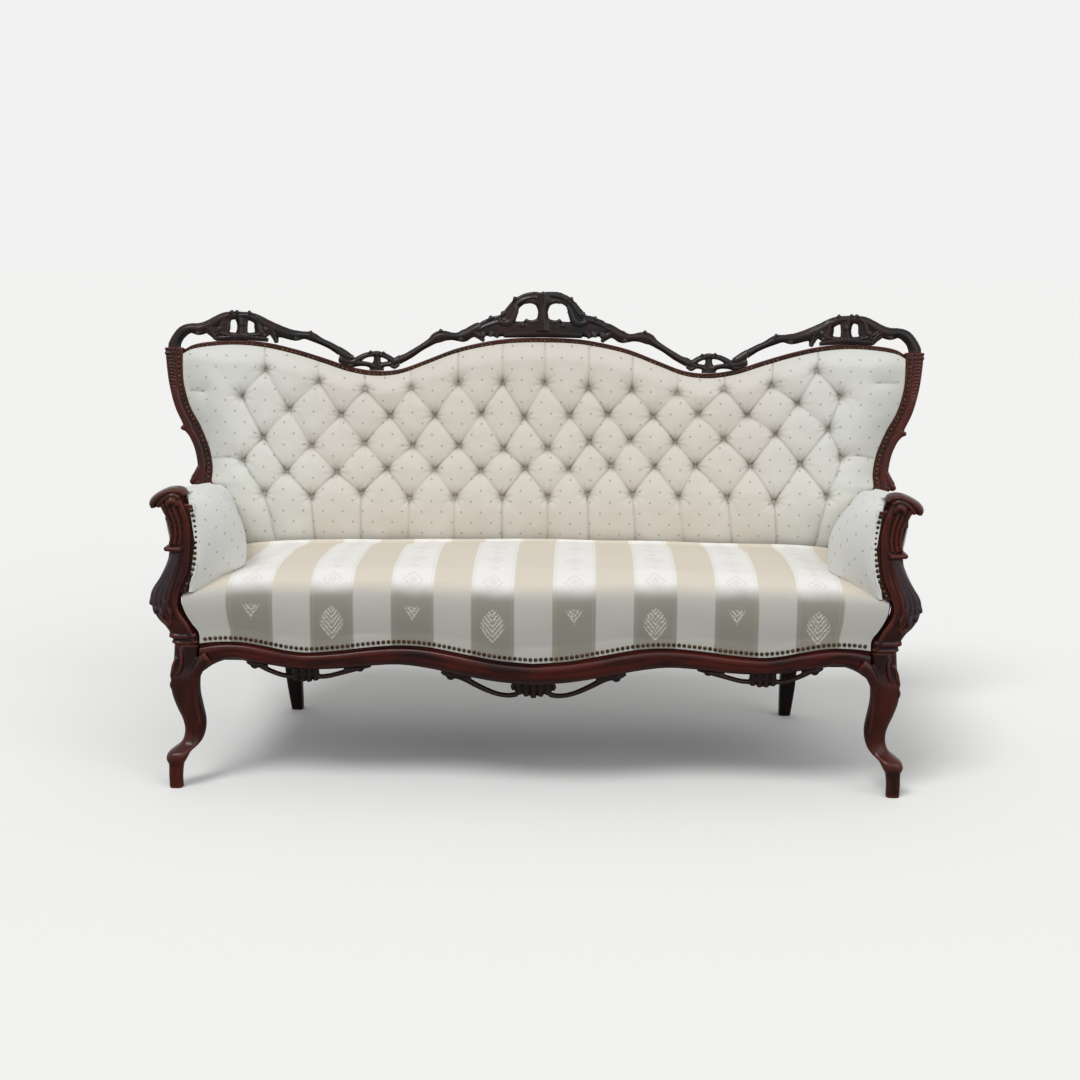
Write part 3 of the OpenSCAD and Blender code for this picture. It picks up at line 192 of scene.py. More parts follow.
for name, strength, spread, place in (
        ("key", 1.3, 24, (-0.5, -0.8, 1.5)), ("fill", 0.75, 50, (0.8, -1.1, 1.0))):
    lamp = bpy.data.objects.new(name, bpy.data.lights.new(name, "SUN"))
    scene.collection.objects.link(lamp)
    lamp.data.energy = strength
    lamp.data.angle = math.radians(spread)
    lamp.matrix_world = Vector(place).to_track_quat("Z", "Y").to_matrix().to_4x4()


# Seat frame
# Beech rails at the sides and back, two stretchers, and glued and screwed corner blocks. The
# outsides of the seat and arm rails show between the covers, and are stained to match the legs.
def timber(name, pale, dark, run, rough=0.62):
    """Open-grained wood, with its grain along one of the axes, 0 to 2."""
    material, f = started(name)
    at = f.node("TexCoord", out="Object")
    streaks, slits = [40, 40, 40], [900, 900, 900]
    streaks[run], slits[run] = 3, 30
    grain = f.cloud(f.stretched(at, streaks), 1.6, 5)
    pores = f.cloud(f.stretched(at, slits), 1.0, 2)
    tone = f.mix(grain.step(0.35, 0.7), pale, dark)
    tone = f.mix(pores.step(0.62, 0.7) * 0.5, tone, dark)
    f.surface("BsdfPrincipled", {"Base Color": tone, "Roughness": rough + grain * 0.2,
                                 "Normal": f.bump(0.3, 0.0006, grain + pores * 0.4)})
    return material


def dress(node, material):
    """Gives a solid of the construction its look."""
    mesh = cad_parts[node].data
    mesh.materials.clear()
    mesh.materials.append(material)


beech = timber("beech", rgb("c9ab80"), rgb("a17c50"), 0)
beech_across = timber("beech_across", rgb("c9ab80"), rgb("a17c50"), 1)
beech_upright = timber("beech_upright", rgb("c6a87c"), rgb("9c774c"), 2)
stained = timber("stained_beech", rgb("4c1a10"), rgb("240b07"), 0, 0.3)
stained_across = timber("stained_beech_across", rgb("4c1a10"), rgb("240b07"), 1, 0.3)
for node, wood in (("back_seat_rail", stained), ("side_seat_rail_left", stained_across),
                   ("side_seat_rail_right", stained_across), ("seat_braces", beech_across),
                   ("corner_blocks", beech), ("arm_rail_left", stained_across),
                   ("arm_rail_right", stained_across), ("back_low_rail", beech),
                   ("back_struts", beech_upright)):
    dress(node, wood)


# Front rail
# One polished board, cut to a serpentine line and bowed forward in the middle, with a
# rounded moulding along its face, a groove under the nails and a step for the cover.
def flowing(points, steps):
    """Points on a smooth curve through the given ones, so many from each to the next."""
    p = np.array(points, float)
    ahead = np.vstack([p[:1], p, p[-1:]])
    made = []
    for i in range(len(p) - 1):
        a, b, c, d = ahead[i:i + 4]
        for t in np.arange(steps) / steps:
            made.append(0.5 * (2 * b + (c - a) * t + (2 * a - 5 * b + 4 * c - d) * t * t
                               + (3 * b - a - 3 * c + d) * t ** 3))
    return np.array(made + [p[-1]])


def both_ways(points):
    """A line that starts in the middle, and its mirror image before it."""
    p = np.array(points, float)
    return np.vstack([p[:0:-1] * [-1] + p[:0:-1] * 2 * (np.arange(p.shape[1]) > 0), p])


def rolled(bm, around, along, place, cloth=(1, 1), closed=True, shade=None):
    """A flat grid rolled or bent to shape: place(u, v) gives the points for shares across and along.
    With a layer for the shade, each point has a fourth value that goes there."""
    sheet = bm.loops.layers.uv.verify()
    verts = bmesh.ops.create_grid(bm, x_segments=around, y_segments=along, size=0.5)["verts"]
    shares = np.array([v.co[:2] for v in verts]) + 0.5
    flat = dict(zip(verts, cloth(*shares.T) if callable(cloth) else shares * cloth))
    for face in {f for v in verts for f in v.link_faces}:
        for loop in face.loops:
            loop[sheet].uv = flat[loop.vert]
    for vert, point in zip(verts, place(shares[:, 0], shares[:, 1])):
        vert.co = point[:3]
        if shade is not None:
            vert[shade] = point[3]
    if closed:
        bmesh.ops.remove_doubles(bm, verts=verts, dist=1e-6)
    return [v for v in verts if v.is_valid]


def made_piece(name, mesh, material, nodes=()):
    """A finished mesh as a piece that stands for some of the construction's nodes."""
    made = bpy.data.objects.new(name, mesh)
    scene.collection.objects.link(made)
    mesh.materials.clear()
    mesh.materials.append(material)
    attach(made, "root")
    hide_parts(*nodes)
    return made


def closed_mesh(name, bm, sharp=35):
    """Fills what is open, turns the faces outwards and shades them smoothly but for the sharp edges."""
    bmesh.ops.remove_doubles(bm, verts=bm.verts, dist=1e-6)
    bmesh.ops.dissolve_degenerate(bm, edges=bm.edges, dist=1e-6)
    bmesh.ops.holes_fill(bm, edges=bm.edges, sides=0)
    bmesh.ops.recalc_face_normals(bm, faces=bm.faces)
    mesh = bpy.data.meshes.new(name)
    bm.to_mesh(mesh)
    bm.free()
    mesh.shade_smooth()
    mesh.set_sharp_from_angle(angle=math.radians(sharp))
    return mesh


def marked(mesh, passes=3):
    """Stores at each point how far it lies in a hollow: about 0.5 on flats, 1 in grooves, 0 on ridges."""
    count = len(mesh.vertices)
    co, normal = np.zeros(count * 3), np.zeros(count * 3)
    mesh.vertices.foreach_get("co", co)
    mesh.vertices.foreach_get("normal", normal)
    co, normal = co.reshape(-1, 3), normal.reshape(-1, 3)
    edges = np.zeros(len(mesh.edges) * 2, int)
    mesh.edges.foreach_get("vertices", edges)
    a, b = edges.reshape(-1, 2).T
    joined = np.maximum(np.bincount(a, minlength=count) + np.bincount(b, minlength=count), 1)

    def around(values):
        total = np.zeros_like(values)
        np.add.at(total, a, values[b])
        np.add.at(total, b, values[a])
        return total / (joined[:, None] if values.ndim > 1 else joined)

    smooth = co
    for _ in range(passes):
        smooth = around(smooth)
    hollow = ((smooth - co) * normal).sum(1)
    for _ in range(2):
        hollow = (hollow + around(hollow)) / 2
    reach = np.percentile(np.abs(hollow), 96) + 1e-9
    layer = mesh.attributes.new("hollow", "FLOAT", "POINT")
    layer.data.foreach_set("value", np.clip(0.5 + hollow / reach / 2, 0, 1).astype(np.float32))
    return mesh


def varnished(name, deep, ruddy, worn, along, streaks, painted_sheen=0.0):
    """Old dark polish over open-grained wood, lighter on worn ridges and near black in the hollows.
    The painted sheen is the share of violet grey painted on the swelling of the arm fronts as a reflection of
    the sky."""
    material, f = started(name)
    at = f.node("TexCoord", out=along)
    grain = f.cloud(f.stretched(at, streaks), 9.0, 4, 0.6)
    fine = f.cloud(f.stretched(at, [s * 7 for s in streaks]), 12.0, 3)
    patches = f.cloud(f.node("TexCoord", out="Object"), 7.0, 2)
    hollow = f.node("Attribute", out="Fac", attribute_name="hollow")
    tone = f.mix((grain * 0.7 + patches * 0.5).step(0.45, 0.75), deep, ruddy)
    tone = f.mix(fine.step(0.56, 0.7) * 0.45, tone, deep)
    tone = f.mix((0.42 - hollow).step(0, 0.35) * (0.2 + patches), tone, worn)
    if painted_sheen:
        x, _, z = f.parts(f.node("TexCoord", out="Object"))
        # Painted reflection: the swelling of the arm fronts is greyed towards violet grey, as the sky
        # reflects in it
        swelling = (abs(x) + z * 0.3 - 0.944).step(0, 0.008) * z.step(0.375, 0.4) * (1 - z.step(0.53, 0.542))
        tone = f.mix(swelling * painted_sheen, tone, rgb("3a3339"))
    tone = f.mix(hollow.step(0.58, 0.95) * 0.85, tone, rgb("0b0606"))
    rough = 0.24 + grain * 0.1 + hollow.step(0.55, 0.95) * 0.3 + patches * 0.08
    f.surface("BsdfPrincipled", {
        "Base Color": tone, "Roughness": rough, "Normal": f.bump(0.35, 0.0004, fine + grain),
        "Coat Weight": 0.22, "Coat Roughness": 0.14, "Specular IOR Level": 0.16})
    return material


seat_half, half_width, front_y = 0.748, 0.970, -0.378
rail_height, wave, face_height, bow, rail_depth = 0.312, 0.035, 0.061, 0.033, 0.058
corner_y = front_y + bow
rail_line = both_ways(flowing([
    (0, 0, 1, 0), (0.1, 0.14, 1, 0.12), (0.19, 0.43, 1.02, 0.36), (0.31, 0.8, 1, 0.82),
    (0.4, 0.87, 0.93, 1), (0.49, 0.73, 0.9, 1), (0.58, 0.51, 0.88, 0.91), (0.67, 0.37, 0.84, 0.84),
    (0.73, 0.46, 0.85, 0.84), (0.79, 0.69, 0.88, 0.88), (0.86, 0.94, 0.9, 0.95),
    (0.91, 0.99, 0.85, 1), (0.96, 0.95, 1.02, 1), (1, 0.85, 1.3, 1)], 8))
rail_x = rail_line[:, 0] * (seat_half - 0.0003)
nail_z = rail_height + rail_line[:, 1] * wave
low_z = nail_z - rail_line[:, 2] * face_height
rail_y = front_y + rail_line[:, 3] * bow
# Section of the board: share of its thickness back from the face, share of its height
# between the lower edge and the groove
rail_section = [
    (1, 0), (0.4, 0), (0.3, 0.01), (0.25, 0.05), (0.22, 0.1), (0.15, 0.13), (0.09, 0.18), (0.05, 0.26),
    (0.035, 0.36), (0.03, 0.45), (0.03, 0.52), (0.005, 0.56), (0, 0.64), (0.005, 0.72), (0.03, 0.79),
    (0.07, 0.84), (0.12, 0.865), (0.15, 0.88), (0.15, 0.93), (0.1, 0.955), (0.08, 1)]


def rail_point(u, v):
    """Shares round the section and along the rail."""
    x = np.interp(v, np.linspace(0, 1, len(rail_x)), rail_x)
    top, low, y = (np.interp(x, rail_x, k) for k in (nail_z, low_z, rail_y))
    k = u * (len(rail_section) + 3)
    depth = np.array([d for d, _ in rail_section] + [0.345, 0.345, 1, 1])
    share = np.array([s for _, s in rail_section])
    lip = top - 0.0088
    z_table = np.array([low + (lip - low) * s for s in share] + [lip, top + 0.016, top + 0.016, low])
    low_k = np.minimum(k.astype(int), len(z_table) - 2)
    part = k - low_k
    rows = np.arange(len(k))
    z = z_table[low_k, rows] * (1 - part) + z_table[low_k + 1, rows] * part
    d = depth[low_k] * (1 - part) + depth[low_k + 1] * part
    return np.stack([x, y + d * rail_depth, z], 1)


rosewood = varnished("rosewood", rgb("220906"), rgb("50170d"), rgb("602417"), "UV", (3, 1, 1))
rosewood_carved = varnished("rosewood_carved", rgb("210a07"), rgb("4c170d"), rgb("5c2719"), "Object",
                            (2, 2, 0.5), painted_sheen=0.75)
bm = bmesh.new()
rolled(bm, len(rail_section) + 3, 224, rail_point, (0.24, 1.6))
made_piece("front_rail", marked(closed_mesh("front_rail", bm, 50)), rosewood,
           ["front_seat_rail"])


# Front legs
# Cabriole legs with a moulded knee that the rail's moulding runs down into, and a
# small square foot. Each is carved from one block together with its knee scroll.
def limb(bm, stations, normal=(0, -1, 0), sides=14, reeds=0, depth=0.0):
    """A rounded bar through stations [x, y, z, width, thickness]. Its width is square to the normal."""
    p = np.array(stations, float)
    n = np.array(normal, float)
    run = np.gradient(p[:, :3], axis=0)
    across = np.cross(run, n)
    across /= np.linalg.norm(across, axis=1)[:, None] + 1e-12
    rows = len(p)
    order = [0, *range(rows), rows - 1]
    open_ends = np.array([0, *[1] * rows, 0])

    def place(u, v):
        k = np.rint(v * (rows + 1)).astype(int)
        s = np.array(order)[k]
        turn = u * 2 * np.pi
        ripple = (1 + depth * np.cos(reeds * turn)) * open_ends[k]
        return (p[s, :3] + across[s] * (p[s, 3] / 2 * np.cos(turn) * ripple)[:, None]
                + n * (p[s, 4] / 2 * np.sin(turn) * ripple)[:, None])

    return rolled(bm, sides, rows + 1, place)


def millimetres(table):
    """A table that is written in millimetres, as those of the carvings are, in metres."""
    return np.array(table) / 1000


def carved(name, bm, voxel, rounds=2):
    """The overlapping parts of a carving made into one skin, as if cut from one block."""
    bmesh.ops.recalc_face_normals(bm, faces=bm.faces)
    rough = bpy.data.meshes.new(name + "_block")
    bm.to_mesh(rough)
    bm.free()
    block = bpy.data.objects.new(name + "_block", rough)
    scene.collection.objects.link(block)
    skin = block.modifiers.new("skin", "REMESH")
    skin.mode = "VOXEL"
    skin.voxel_size = voxel
    soft = block.modifiers.new("soft", "SMOOTH")
    soft.factor = 0.5
    soft.iterations = rounds
    made = bpy.data.meshes.new_from_object(block.evaluated_get(bpy.context.evaluated_depsgraph_get()))
    bpy.data.objects.remove(block)
    bpy.data.meshes.remove(rough)
    made.name = name
    made.shade_smooth()
    return marked(made, 8)


def other_side(mesh):
    """The same shape on the left side of the sofa."""
    bm = bmesh.new()
    bm.from_mesh(mesh)
    bmesh.ops.scale(bm, vec=(-1, 1, 1), verts=bm.verts)
    bmesh.ops.reverse_faces(bm, faces=bm.faces)
    made = bpy.data.meshes.new(mesh.name + "_left")
    bm.to_mesh(made)
    bm.free()
    return made


def pair(name, mesh, material, node):
    """A piece on the right, and its mirror image on the left."""
    return [made_piece(name % side, shape, material, [node + side])
            for shape, side in ((mesh, "right"), (other_side(mesh), "left"))]


def squared(turn, power):
    """A square with rounded corners, two wide between its flats, by the angle round it."""
    return (np.sign(c) * np.abs(c) ** power for c in (np.cos(turn), np.sin(turn)))


def block_loft(bm, stations, power, sides, steps):
    """A rounded square block through stations [x, y, z, width, depth], from the bottom up."""
    line = flowing(stations, steps)
    rows = len(line)

    def place(u, v):
        k = np.rint(v * (rows + 1)).astype(int)
        s = line[np.clip(k - 1, 0, rows - 1)]
        inside = ((k > 0) & (k < rows + 1)).astype(float)
        a, b = squared((u + 0.5 / sides) * 2 * np.pi, power)
        x, y, z, width, depth = s.T
        return np.stack([x + a * width / 2 * inside, y + b * depth / 2 * inside, z], 1)

    return rolled(bm, sides, rows + 1, place)


leg_width, leg_sweep = 0.060, 0.030
leg_top = rail_height + wave / 2
leg_x, leg_y = seat_half + leg_width / 2, corner_y + rail_depth / 2
bm = bmesh.new()
block_loft(bm, [
    (leg_x + s * leg_sweep, leg_y - s * leg_sweep, leg_top * h, leg_width * w, leg_width * w * 0.96)
    for h, s, w in (
        (0, 1, 0.5), (0.08, 1.02, 0.51), (0.16, 0.97, 0.55), (0.19, 0.95, 0.7), (0.215, 0.9, 0.79),
        (0.25, 0.7, 0.82), (0.3, 0.02, 0.74), (0.37, -0.25, 0.76), (0.455, -0.23, 0.84),
        (0.56, 0.03, 0.96), (0.66, 0.23, 1.03), (0.76, 0.23, 1.06), (0.86, 0.07, 1.04), (1, 0, 1))],
    0.7, 40, 6)
# The rail's moulding runs down the inner front of the leg and dies into its ankle
limb(bm, flowing(millimetres([
    (728, -343, 303.5, 30, 20), (742, -344, 292, 28, 20), (754, -345, 272, 26, 18),
    (762, -345, 250, 24, 16), (765, -344, 225, 20, 14), (763, -340, 195, 17, 12),
    (759, -332, 160, 13, 9), (757, -324, 130, 9, 6)]), 6), sides=18)
# Small scroll and leaf on the outside of the knee
for stations in (
        [(800, -343, 300, 7, 8), (806, -342, 284, 10, 13), (808, -340, 268, 14, 17),
         (811, -339, 258, 12, 16), (808, -342, 247, 13, 14), (812, -340, 236, 13, 12),
         (806, -342, 220, 10, 8), (801, -343, 200, 6, 4)],
        [(790, -347, 322, 6, 7), (787, -349, 303, 8, 10), (789, -350, 284, 9, 11),
         (795, -349, 268, 8, 9), (801, -346, 257, 5, 6)]):
    limb(bm, flowing(millimetres(stations), 5))
for vert in bm.verts:
    vert.co.z = min(max(vert.co.z, 0.0), leg_top)
pair("front_leg_%s_carved", carved("front_leg_right_carved", bm, 0.0019), rosewood_carved,
     "front_leg_")


# Back legs
# Plain square tapered legs of darker wood, kicked backwards. Each is sawn from one piece and
# glued and screwed under the back rail.
dark_rosewood = varnished("dark_rosewood", rgb("140b0c"), rgb("241212"), rgb("38211f"), "Object", (2, 2, 0.5))
rear_leg_x, rear_leg_y, rear_leg_height, rear_leg_width, rear_kick = 0.643, 0.21234, 0.287, 0.042, 0.098
for sign, side in ((1, "right"), (-1, "left")):
    bm = bmesh.new()
    block_loft(bm, [
        (sign * rear_leg_x, rear_leg_y + k * rear_kick, rear_leg_height * h, rear_leg_width * w,
         rear_leg_width * w)
        for h, k, w in ((0, 1, 0.7), (0.3, 0.62, 0.92), (0.6, 0.28, 0.98), (0.85, 0.06, 1), (1, 0, 1))],
        0.34, 32, 8)
    made_piece("back_leg_" + side, marked(closed_mesh("back_leg_" + side, bm, 50)), dark_rosewood,
               ["rear_leg_" + side])


# Arm fronts
# Carved supports: a swelling with leaf ribs above the leg, a collar, three flutes, and a
# scrolled head that turns outwards. A moulding along the inner edge takes the nails.
arm_height, arm_swell = 0.684, 0.030
arm_stations = [
    (leg_x + s * arm_swell, leg_y, leg_top + (arm_height - leg_top) * h, leg_width * w, leg_width * 0.96 * d)
    for h, s, w, d in (
        (0, 0, 1, 1), (0.06, 0.17, 1.08, 1), (0.115, 0.63, 1.02, 1.04), (0.16, 1.1, 1.05, 1.06),
        (0.225, 1.5, 1.06, 1.08), (0.285, 1.55, 1.03, 1.06), (0.365, 1.3, 1.03, 1.02), (0.455, 0.75, 1, 0.97),
        (0.54, 0.4, 0.9, 0.92), (0.588, 0.33, 0.87, 0.9), (0.633, 0.3, 0.88, 0.88), (0.707, 0.17, 0.83, 0.84),
        (0.79, 0.3, 0.85, 0.86), (0.865, 0.63, 1.02, 0.96), (0.904, 0.9, 1.16, 1.0), (0.946, 0.83, 1.0, 0.96),
        (0.977, 0.57, 0.77, 0.9), (0.995, 0.4, 0.37, 0.6))]
arm_line = flowing(arm_stations, 4)


def on_arm(z, across, proud=0.0):
    """A place on the arm front's face at a height, by the share of the way to its outer edge."""
    x, w, d = (np.interp(z, arm_line[:, 2], arm_line[:, k]) for k in (0, 3, 4))
    edge = max(0.0, abs(across - 0.5) * 2 - 0.55) / 0.45
    return (x + (across - 0.5) * w, leg_y - d / 2 * (1 - 0.3 * edge ** 2) - proud + 0.002, z)


def along_arm_front(heights, shares, widths, thick, proud=0.0):
    """Stations of a limb that runs along the arm front's face."""
    stations = zip(heights, shares, widths, thick)
    return flowing([(*on_arm(z, a, proud), w, t) for z, a, w, t in stations], 5)


bm = bmesh.new()
block_loft(bm, arm_stations, 0.72, 44, 5)
# Inner moulding, and beside it the flange that the padding's cover is nailed to
limb(bm, along_arm_front((0.338, 0.37, 0.41, 0.45, 0.5, 0.55, 0.6, 0.64, 0.665),
                         (0.22, 0.15, 0.14, 0.15, 0.17, 0.19, 0.2, 0.19, 0.24),
                         (0.010, 0.014, 0.016, 0.018, 0.018, 0.018, 0.017, 0.015, 0.009),
                         (0.008, 0.010, 0.010, 0.010, 0.010, 0.010, 0.010, 0.010, 0.006)))
flange_width, flange_set = 0.014, 0.007


def flange(z):
    """Inner edge and front face of the flange at a height."""
    x, w, d = (np.interp(z, arm_line[:, 2], arm_line[:, k]) for k in (0, 3, 4))
    return x - w / 2 - flange_width, leg_y - d / 2 + flange_set


flange_z = np.linspace(0.4482, 0.6470, 40)


def flange_point(u, v):
    k = np.rint(v * (len(flange_z) - 1)).astype(int)
    x, y = flange(flange_z[k])
    corner = np.rint(u * 4).astype(int) % 4
    x = np.where(corner % 3 == 0, x, x + 2 * flange_width)
    return np.stack([x, np.where(corner < 2, y, 2 * leg_y - y), flange_z[k]], 1)


rolled(bm, 4, len(flange_z) - 1, flange_point)
bmesh.ops.holes_fill(bm, edges=bm.edges, sides=0)
# Flutes between the collar and the head
for share, top_share, reach in ((0.5, 0.42, 0.655), (0.7, 0.6, 0.662), (0.89, 0.77, 0.655)):
    limb(bm, along_arm_front(
        (0.556, 0.58, 0.61, 0.635, reach),
        (share, share, share * 0.97, (share + top_share) / 2, top_share),
        (0.0075, 0.0078, 0.008, 0.0095, 0.009), (0.009, 0.010, 0.011, 0.012, 0.009), 0.0015))
# Collar
collar_z = 0.5475
limb(bm, [(leg_x + 0.0099 + k * 0.0295, leg_y - 0.0262 - 0.0035 * (1 - k * k), collar_z, 0.011, 0.012)
          for k in np.linspace(-0.25, 1.02, 12)])
limb(bm, [(leg_x + 0.0385, leg_y + k * 0.026, collar_z, 0.011, 0.010) for k in np.linspace(-1, 1, 8)],
     (1, 0, 0))
# Leaf ribs on the swelling, which curl over at its foot
for share, low, width in (
        (0.34, 0.395, 0.0075), (0.5, 0.388, 0.009), (0.66, 0.392, 0.009), (0.82, 0.405, 0.009),
        (0.95, 0.425, 0.008)):
    limb(bm, along_arm_front(
        (0.536, 0.51, 0.48, 0.45, 0.42, low + 0.008, low - 0.004),
        (0.35 + share * 0.42, 0.25 + share * 0.6, 0.1 + share * 0.82, share, share, share, share + 0.06),
        (0.005, 0.007, width, width * 1.1, width, width * 1.2, width * 0.7),
        (0.004, 0.007, 0.009, 0.010, 0.011, 0.014, 0.010), 0.0008))
limb(bm, along_arm_front(
    (0.43, 0.405, 0.385, 0.378, 0.384, 0.396), (0.46, 0.44, 0.5, 0.62, 0.72, 0.7), (0.008,) * 6,
    (0.010, 0.012, 0.013, 0.012, 0.010, 0.006), 0.001))
# Scrolled head: a leaf that rolls outwards and down, with a small rolled tip. Its stations are in
# millimetres, with their depth from the middle of the leg
for sides, stations in (
        (18, [(772, 0, 666, 12, 44), (785, -2, 676, 16, 56), (803, -3, 676.5, 17, 62),
              (822, -3, 668, 19, 63), (835, -3, 657, 24, 61), (842.5, -2, 647.5, 23, 58),
              (841, -2, 638.5, 17, 50)]),
        (14, [(782, -26, 662, 10, 12), (795, -28, 668, 11, 13), (811, -28, 663, 10, 13),
              (825, -27, 651, 9, 12), (831, -27, 641, 7, 10)]),
        (14, [(786, -27, 645, 11, 11), (796, -31, 656, 15, 16), (807, -31, 651, 14, 16),
              (807, -28, 640, 8, 10)])):
    limb(bm, flowing(millimetres(stations) + [0, leg_y, 0, 0, 0], 6), sides=sides)
# Knot where the swelling meets the leg
for z, width, thick in ((0.352, 0.012, 0.010), (0.337, 0.008, 0.008)):
    limb(bm, [(*on_arm(z, a)[:2], z - 0.004 * math.sin(a * 3), width, thick)
              for a in np.linspace(0.05, 1.0, 10)])
for vert in bm.verts:
    vert.co.z = min(max(vert.co.z, leg_top + 0.0003), arm_height)
pair("arm_front_%s_carved", carved("arm_front_right_carved", bm, 0.0017), rosewood_carved,
     "arm_front_")


# Aprons
# Low fretwork under the front rail: round stems that meet in a small reeded block and end
# in leaf curls against the rail. Each is sawn and carved from one dark board.
def stem(bm, points, y, thick=0.0145):
    """A rounded stem in an upright plane, through [x, z, width] in millimetres."""
    limb(bm, flowing([(x, y, z, w, min(thick, w * 1.5)) for x, z, w in millimetres(points)], 5))


apron_y, side_apron_y, block_thick = -0.3277, -0.3173, 0.017
bm = bmesh.new()
for sign in (1, -1):
    for points in (
            [(36, 221.5, 12), (55, 218.5, 11), (80, 221.5, 11), (105, 230.5, 12), (130, 242.5, 13),
             (152, 254.5, 14), (168, 260.5, 13), (185, 262.5, 10), (198, 265.5, 8), (207, 271, 6)],
            [(140, 257.5, 8), (158, 262, 10), (178, 266.8, 10), (196, 270.5, 8), (207, 272.8, 5)],
            [(176, 262, 7), (184, 255.5, 7), (192, 258.5, 7), (190, 264, 5)],
            [(40, 249, 8), (47, 240, 9), (44, 231, 7)]):
        stem(bm, [(sign * x, z, w) for x, z, w in points], apron_y)
for k in range(-2, 3):
    stem(bm, [(k * 16.5, 250.3, 15.5), (k * 16.5, 232, 17), (k * 15.5, 214 + 3.5 * abs(k), 13)],
         apron_y, block_thick)
made_piece("apron_centre_carved", carved("apron_centre_carved", bm, 0.0016), dark_rosewood,
           ["apron_centre"])
bm = bmesh.new()
for points in (
        [(488, 253.5, 11), (464, 255.5, 11), (440, 261.5, 11), (420, 267.5, 12), (405, 271.5, 12),
         (392, 274.5, 10), (380, 277.5, 7), (369, 280.2, 5)],
        [(428, 272.5, 7), (410, 273.5, 9), (392, 275.5, 8), (375, 278, 7), (366, 280, 4)],
        [(400, 274.5, 7), (393, 269.5, 7), (386, 272, 7), (388, 276.5, 5)],
        [(540, 253.5, 11), (566, 256.5, 11), (590, 264.5, 11), (607, 272.5, 12), (618, 278.5, 12),
         (630, 280.5, 10), (641, 282.5, 7), (648, 287, 5)],
        [(600, 276.5, 7), (616, 281.5, 9), (632, 284.5, 8), (645, 287.5, 5)],
        [(622, 278.5, 7), (628, 273.5, 7), (635, 276.5, 7), (633, 281, 5)]):
    stem(bm, points, side_apron_y)
for k in (-1.5, -0.5, 0.5, 1.5):
    stem(bm, [(514 + k * 15.2, 273.5, 14.5), (514 + k * 15.2, 258, 16),
              (514 + k * 14.5, 241 + 3 * abs(k), 12)], side_apron_y, block_thick)
pair("apron_%s_carved", carved("apron_right_carved", bm, 0.0016), dark_rosewood, "apron_")


# Webbing, springs and hessian
# Jute straps nailed across the rails carry three rows of waisted steel coils. A hessian
# cloth lies over the coils, and a thin black cloth closes the seat from below.
def woven(name, pale, dark, pitch, along="Object", relief=0.0004):
    """Plain open weave, with threads of uneven tone."""
    material, f = started(name)
    at = f.node("TexCoord", out=along)
    x, y, z = f.parts(at)
    turn = 2 * math.pi / pitch
    weave = (x * turn).wave() * ((y + z) * turn).wave()
    threads = f.cloud(f.stretched(at, (1, 14, 14)), 90, 2) + f.cloud(f.stretched(at, (14, 1, 1)), 90, 2)
    f.surface("BsdfPrincipled", {
        "Base Color": f.mix((threads * 0.9 - 0.4 + weave * 0.12).clamped(), dark, pale),
        "Roughness": 0.92, "Normal": f.bump(0.5, relief, weave + threads)})
    return material


def cloth_sheet(name, columns, rows, place, thick, material, node):
    """A sheet nailed out flat over a frame. Its flat size is measured along its own surface."""
    u, v = np.meshgrid(np.linspace(0, 1, columns + 1), np.linspace(0, 1, rows + 1))
    p = place(u.ravel(), v.ravel()).reshape(rows + 1, columns + 1, 3)
    width = float(np.linalg.norm(np.diff(p, axis=1), axis=2).sum(1).max())
    length = float(np.linalg.norm(np.diff(p, axis=0), axis=2).sum(0).max())
    bm = bmesh.new()
    rolled(bm, columns, rows, place, (width, length), False)
    area = sum(face.calc_area() for face in bm.faces)
    grown = bmesh.ops.extrude_face_region(bm, geom=bm.faces[:], use_keep_orig=True)["geom"]
    bmesh.ops.translate(bm, vec=thick, verts=[g for g in grown if isinstance(g, bmesh.types.BMVert)])
    made = made_piece(name, closed_mesh(name, bm), material, [node])
    area if area < 0.98 * width * length else None


jute = woven("jute", rgb("b39b6c"), rgb("7c6740"), 0.0022)
hessian = woven("hessian", rgb("b7a172"), rgb("806b45"), 0.0026, "UV")
for node in ("seat_webbing", "back_webbing"):
    dress(node, jute)


def metal(name, bright, dull, rough):
    """Old metal, duller in patches."""
    material, f = started(name)
    patches = f.cloud(f.node("TexCoord", out="Object"), 160, 3)
    f.surface("BsdfPrincipled", {"Base Color": f.mix(patches.step(0.35, 0.65), bright, dull),
                                 "Metallic": 0.9, "Roughness": patches * 0.3 + rough})
    return material


steel = metal("steel", rgb("9a9c9e"), rgb("66605a"), 0.3)
dress("corner_block_screws", steel)


def coil(u, v):
    """A wire of 4 mm that runs up in five and a half turns, narrower at half its height."""
    turn = v * 11 * np.pi
    radius = 0.027 + 0.0125 * np.abs(2 * v - 1) ** 1.6 + 0.002 * np.cos(u * 2 * np.pi)
    return np.stack([radius * np.cos(turn), radius * np.sin(turn),
                     0.2892 + 0.1066 * v + 0.002 * np.sin(u * 2 * np.pi)], 1)


bm = bmesh.new()
for column in range(8):
    for row in range(3):
        bmesh.ops.translate(bm, vec=((column - 3.5) * 0.17017, -0.0604 + (row - 1) * 0.1223, 0),
                            verts=rolled(bm, 6, 77, coil))
made_piece("seat_springs_coiled", closed_mesh("seat_springs_coiled", bm, 80), steel,
           ["seat_springs"])


def level_sheet(node):
    """Places on the lower face of a node's box, from its front left corner."""
    low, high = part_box(node)
    return lambda u, v: np.stack(
        [low.x + (high.x - low.x) * u, low.y + (high.y - low.y) * v, low.z + 0 * u], 1)


def under_seat(u, v):
    x = 0.7612 * (2 * u - 1)
    front = np.interp(x, rail_x, rail_y) + rail_depth + 0.0004
    return np.stack([x, front + (0.1898 - front) * v, 0.282 + 0 * u], 1)


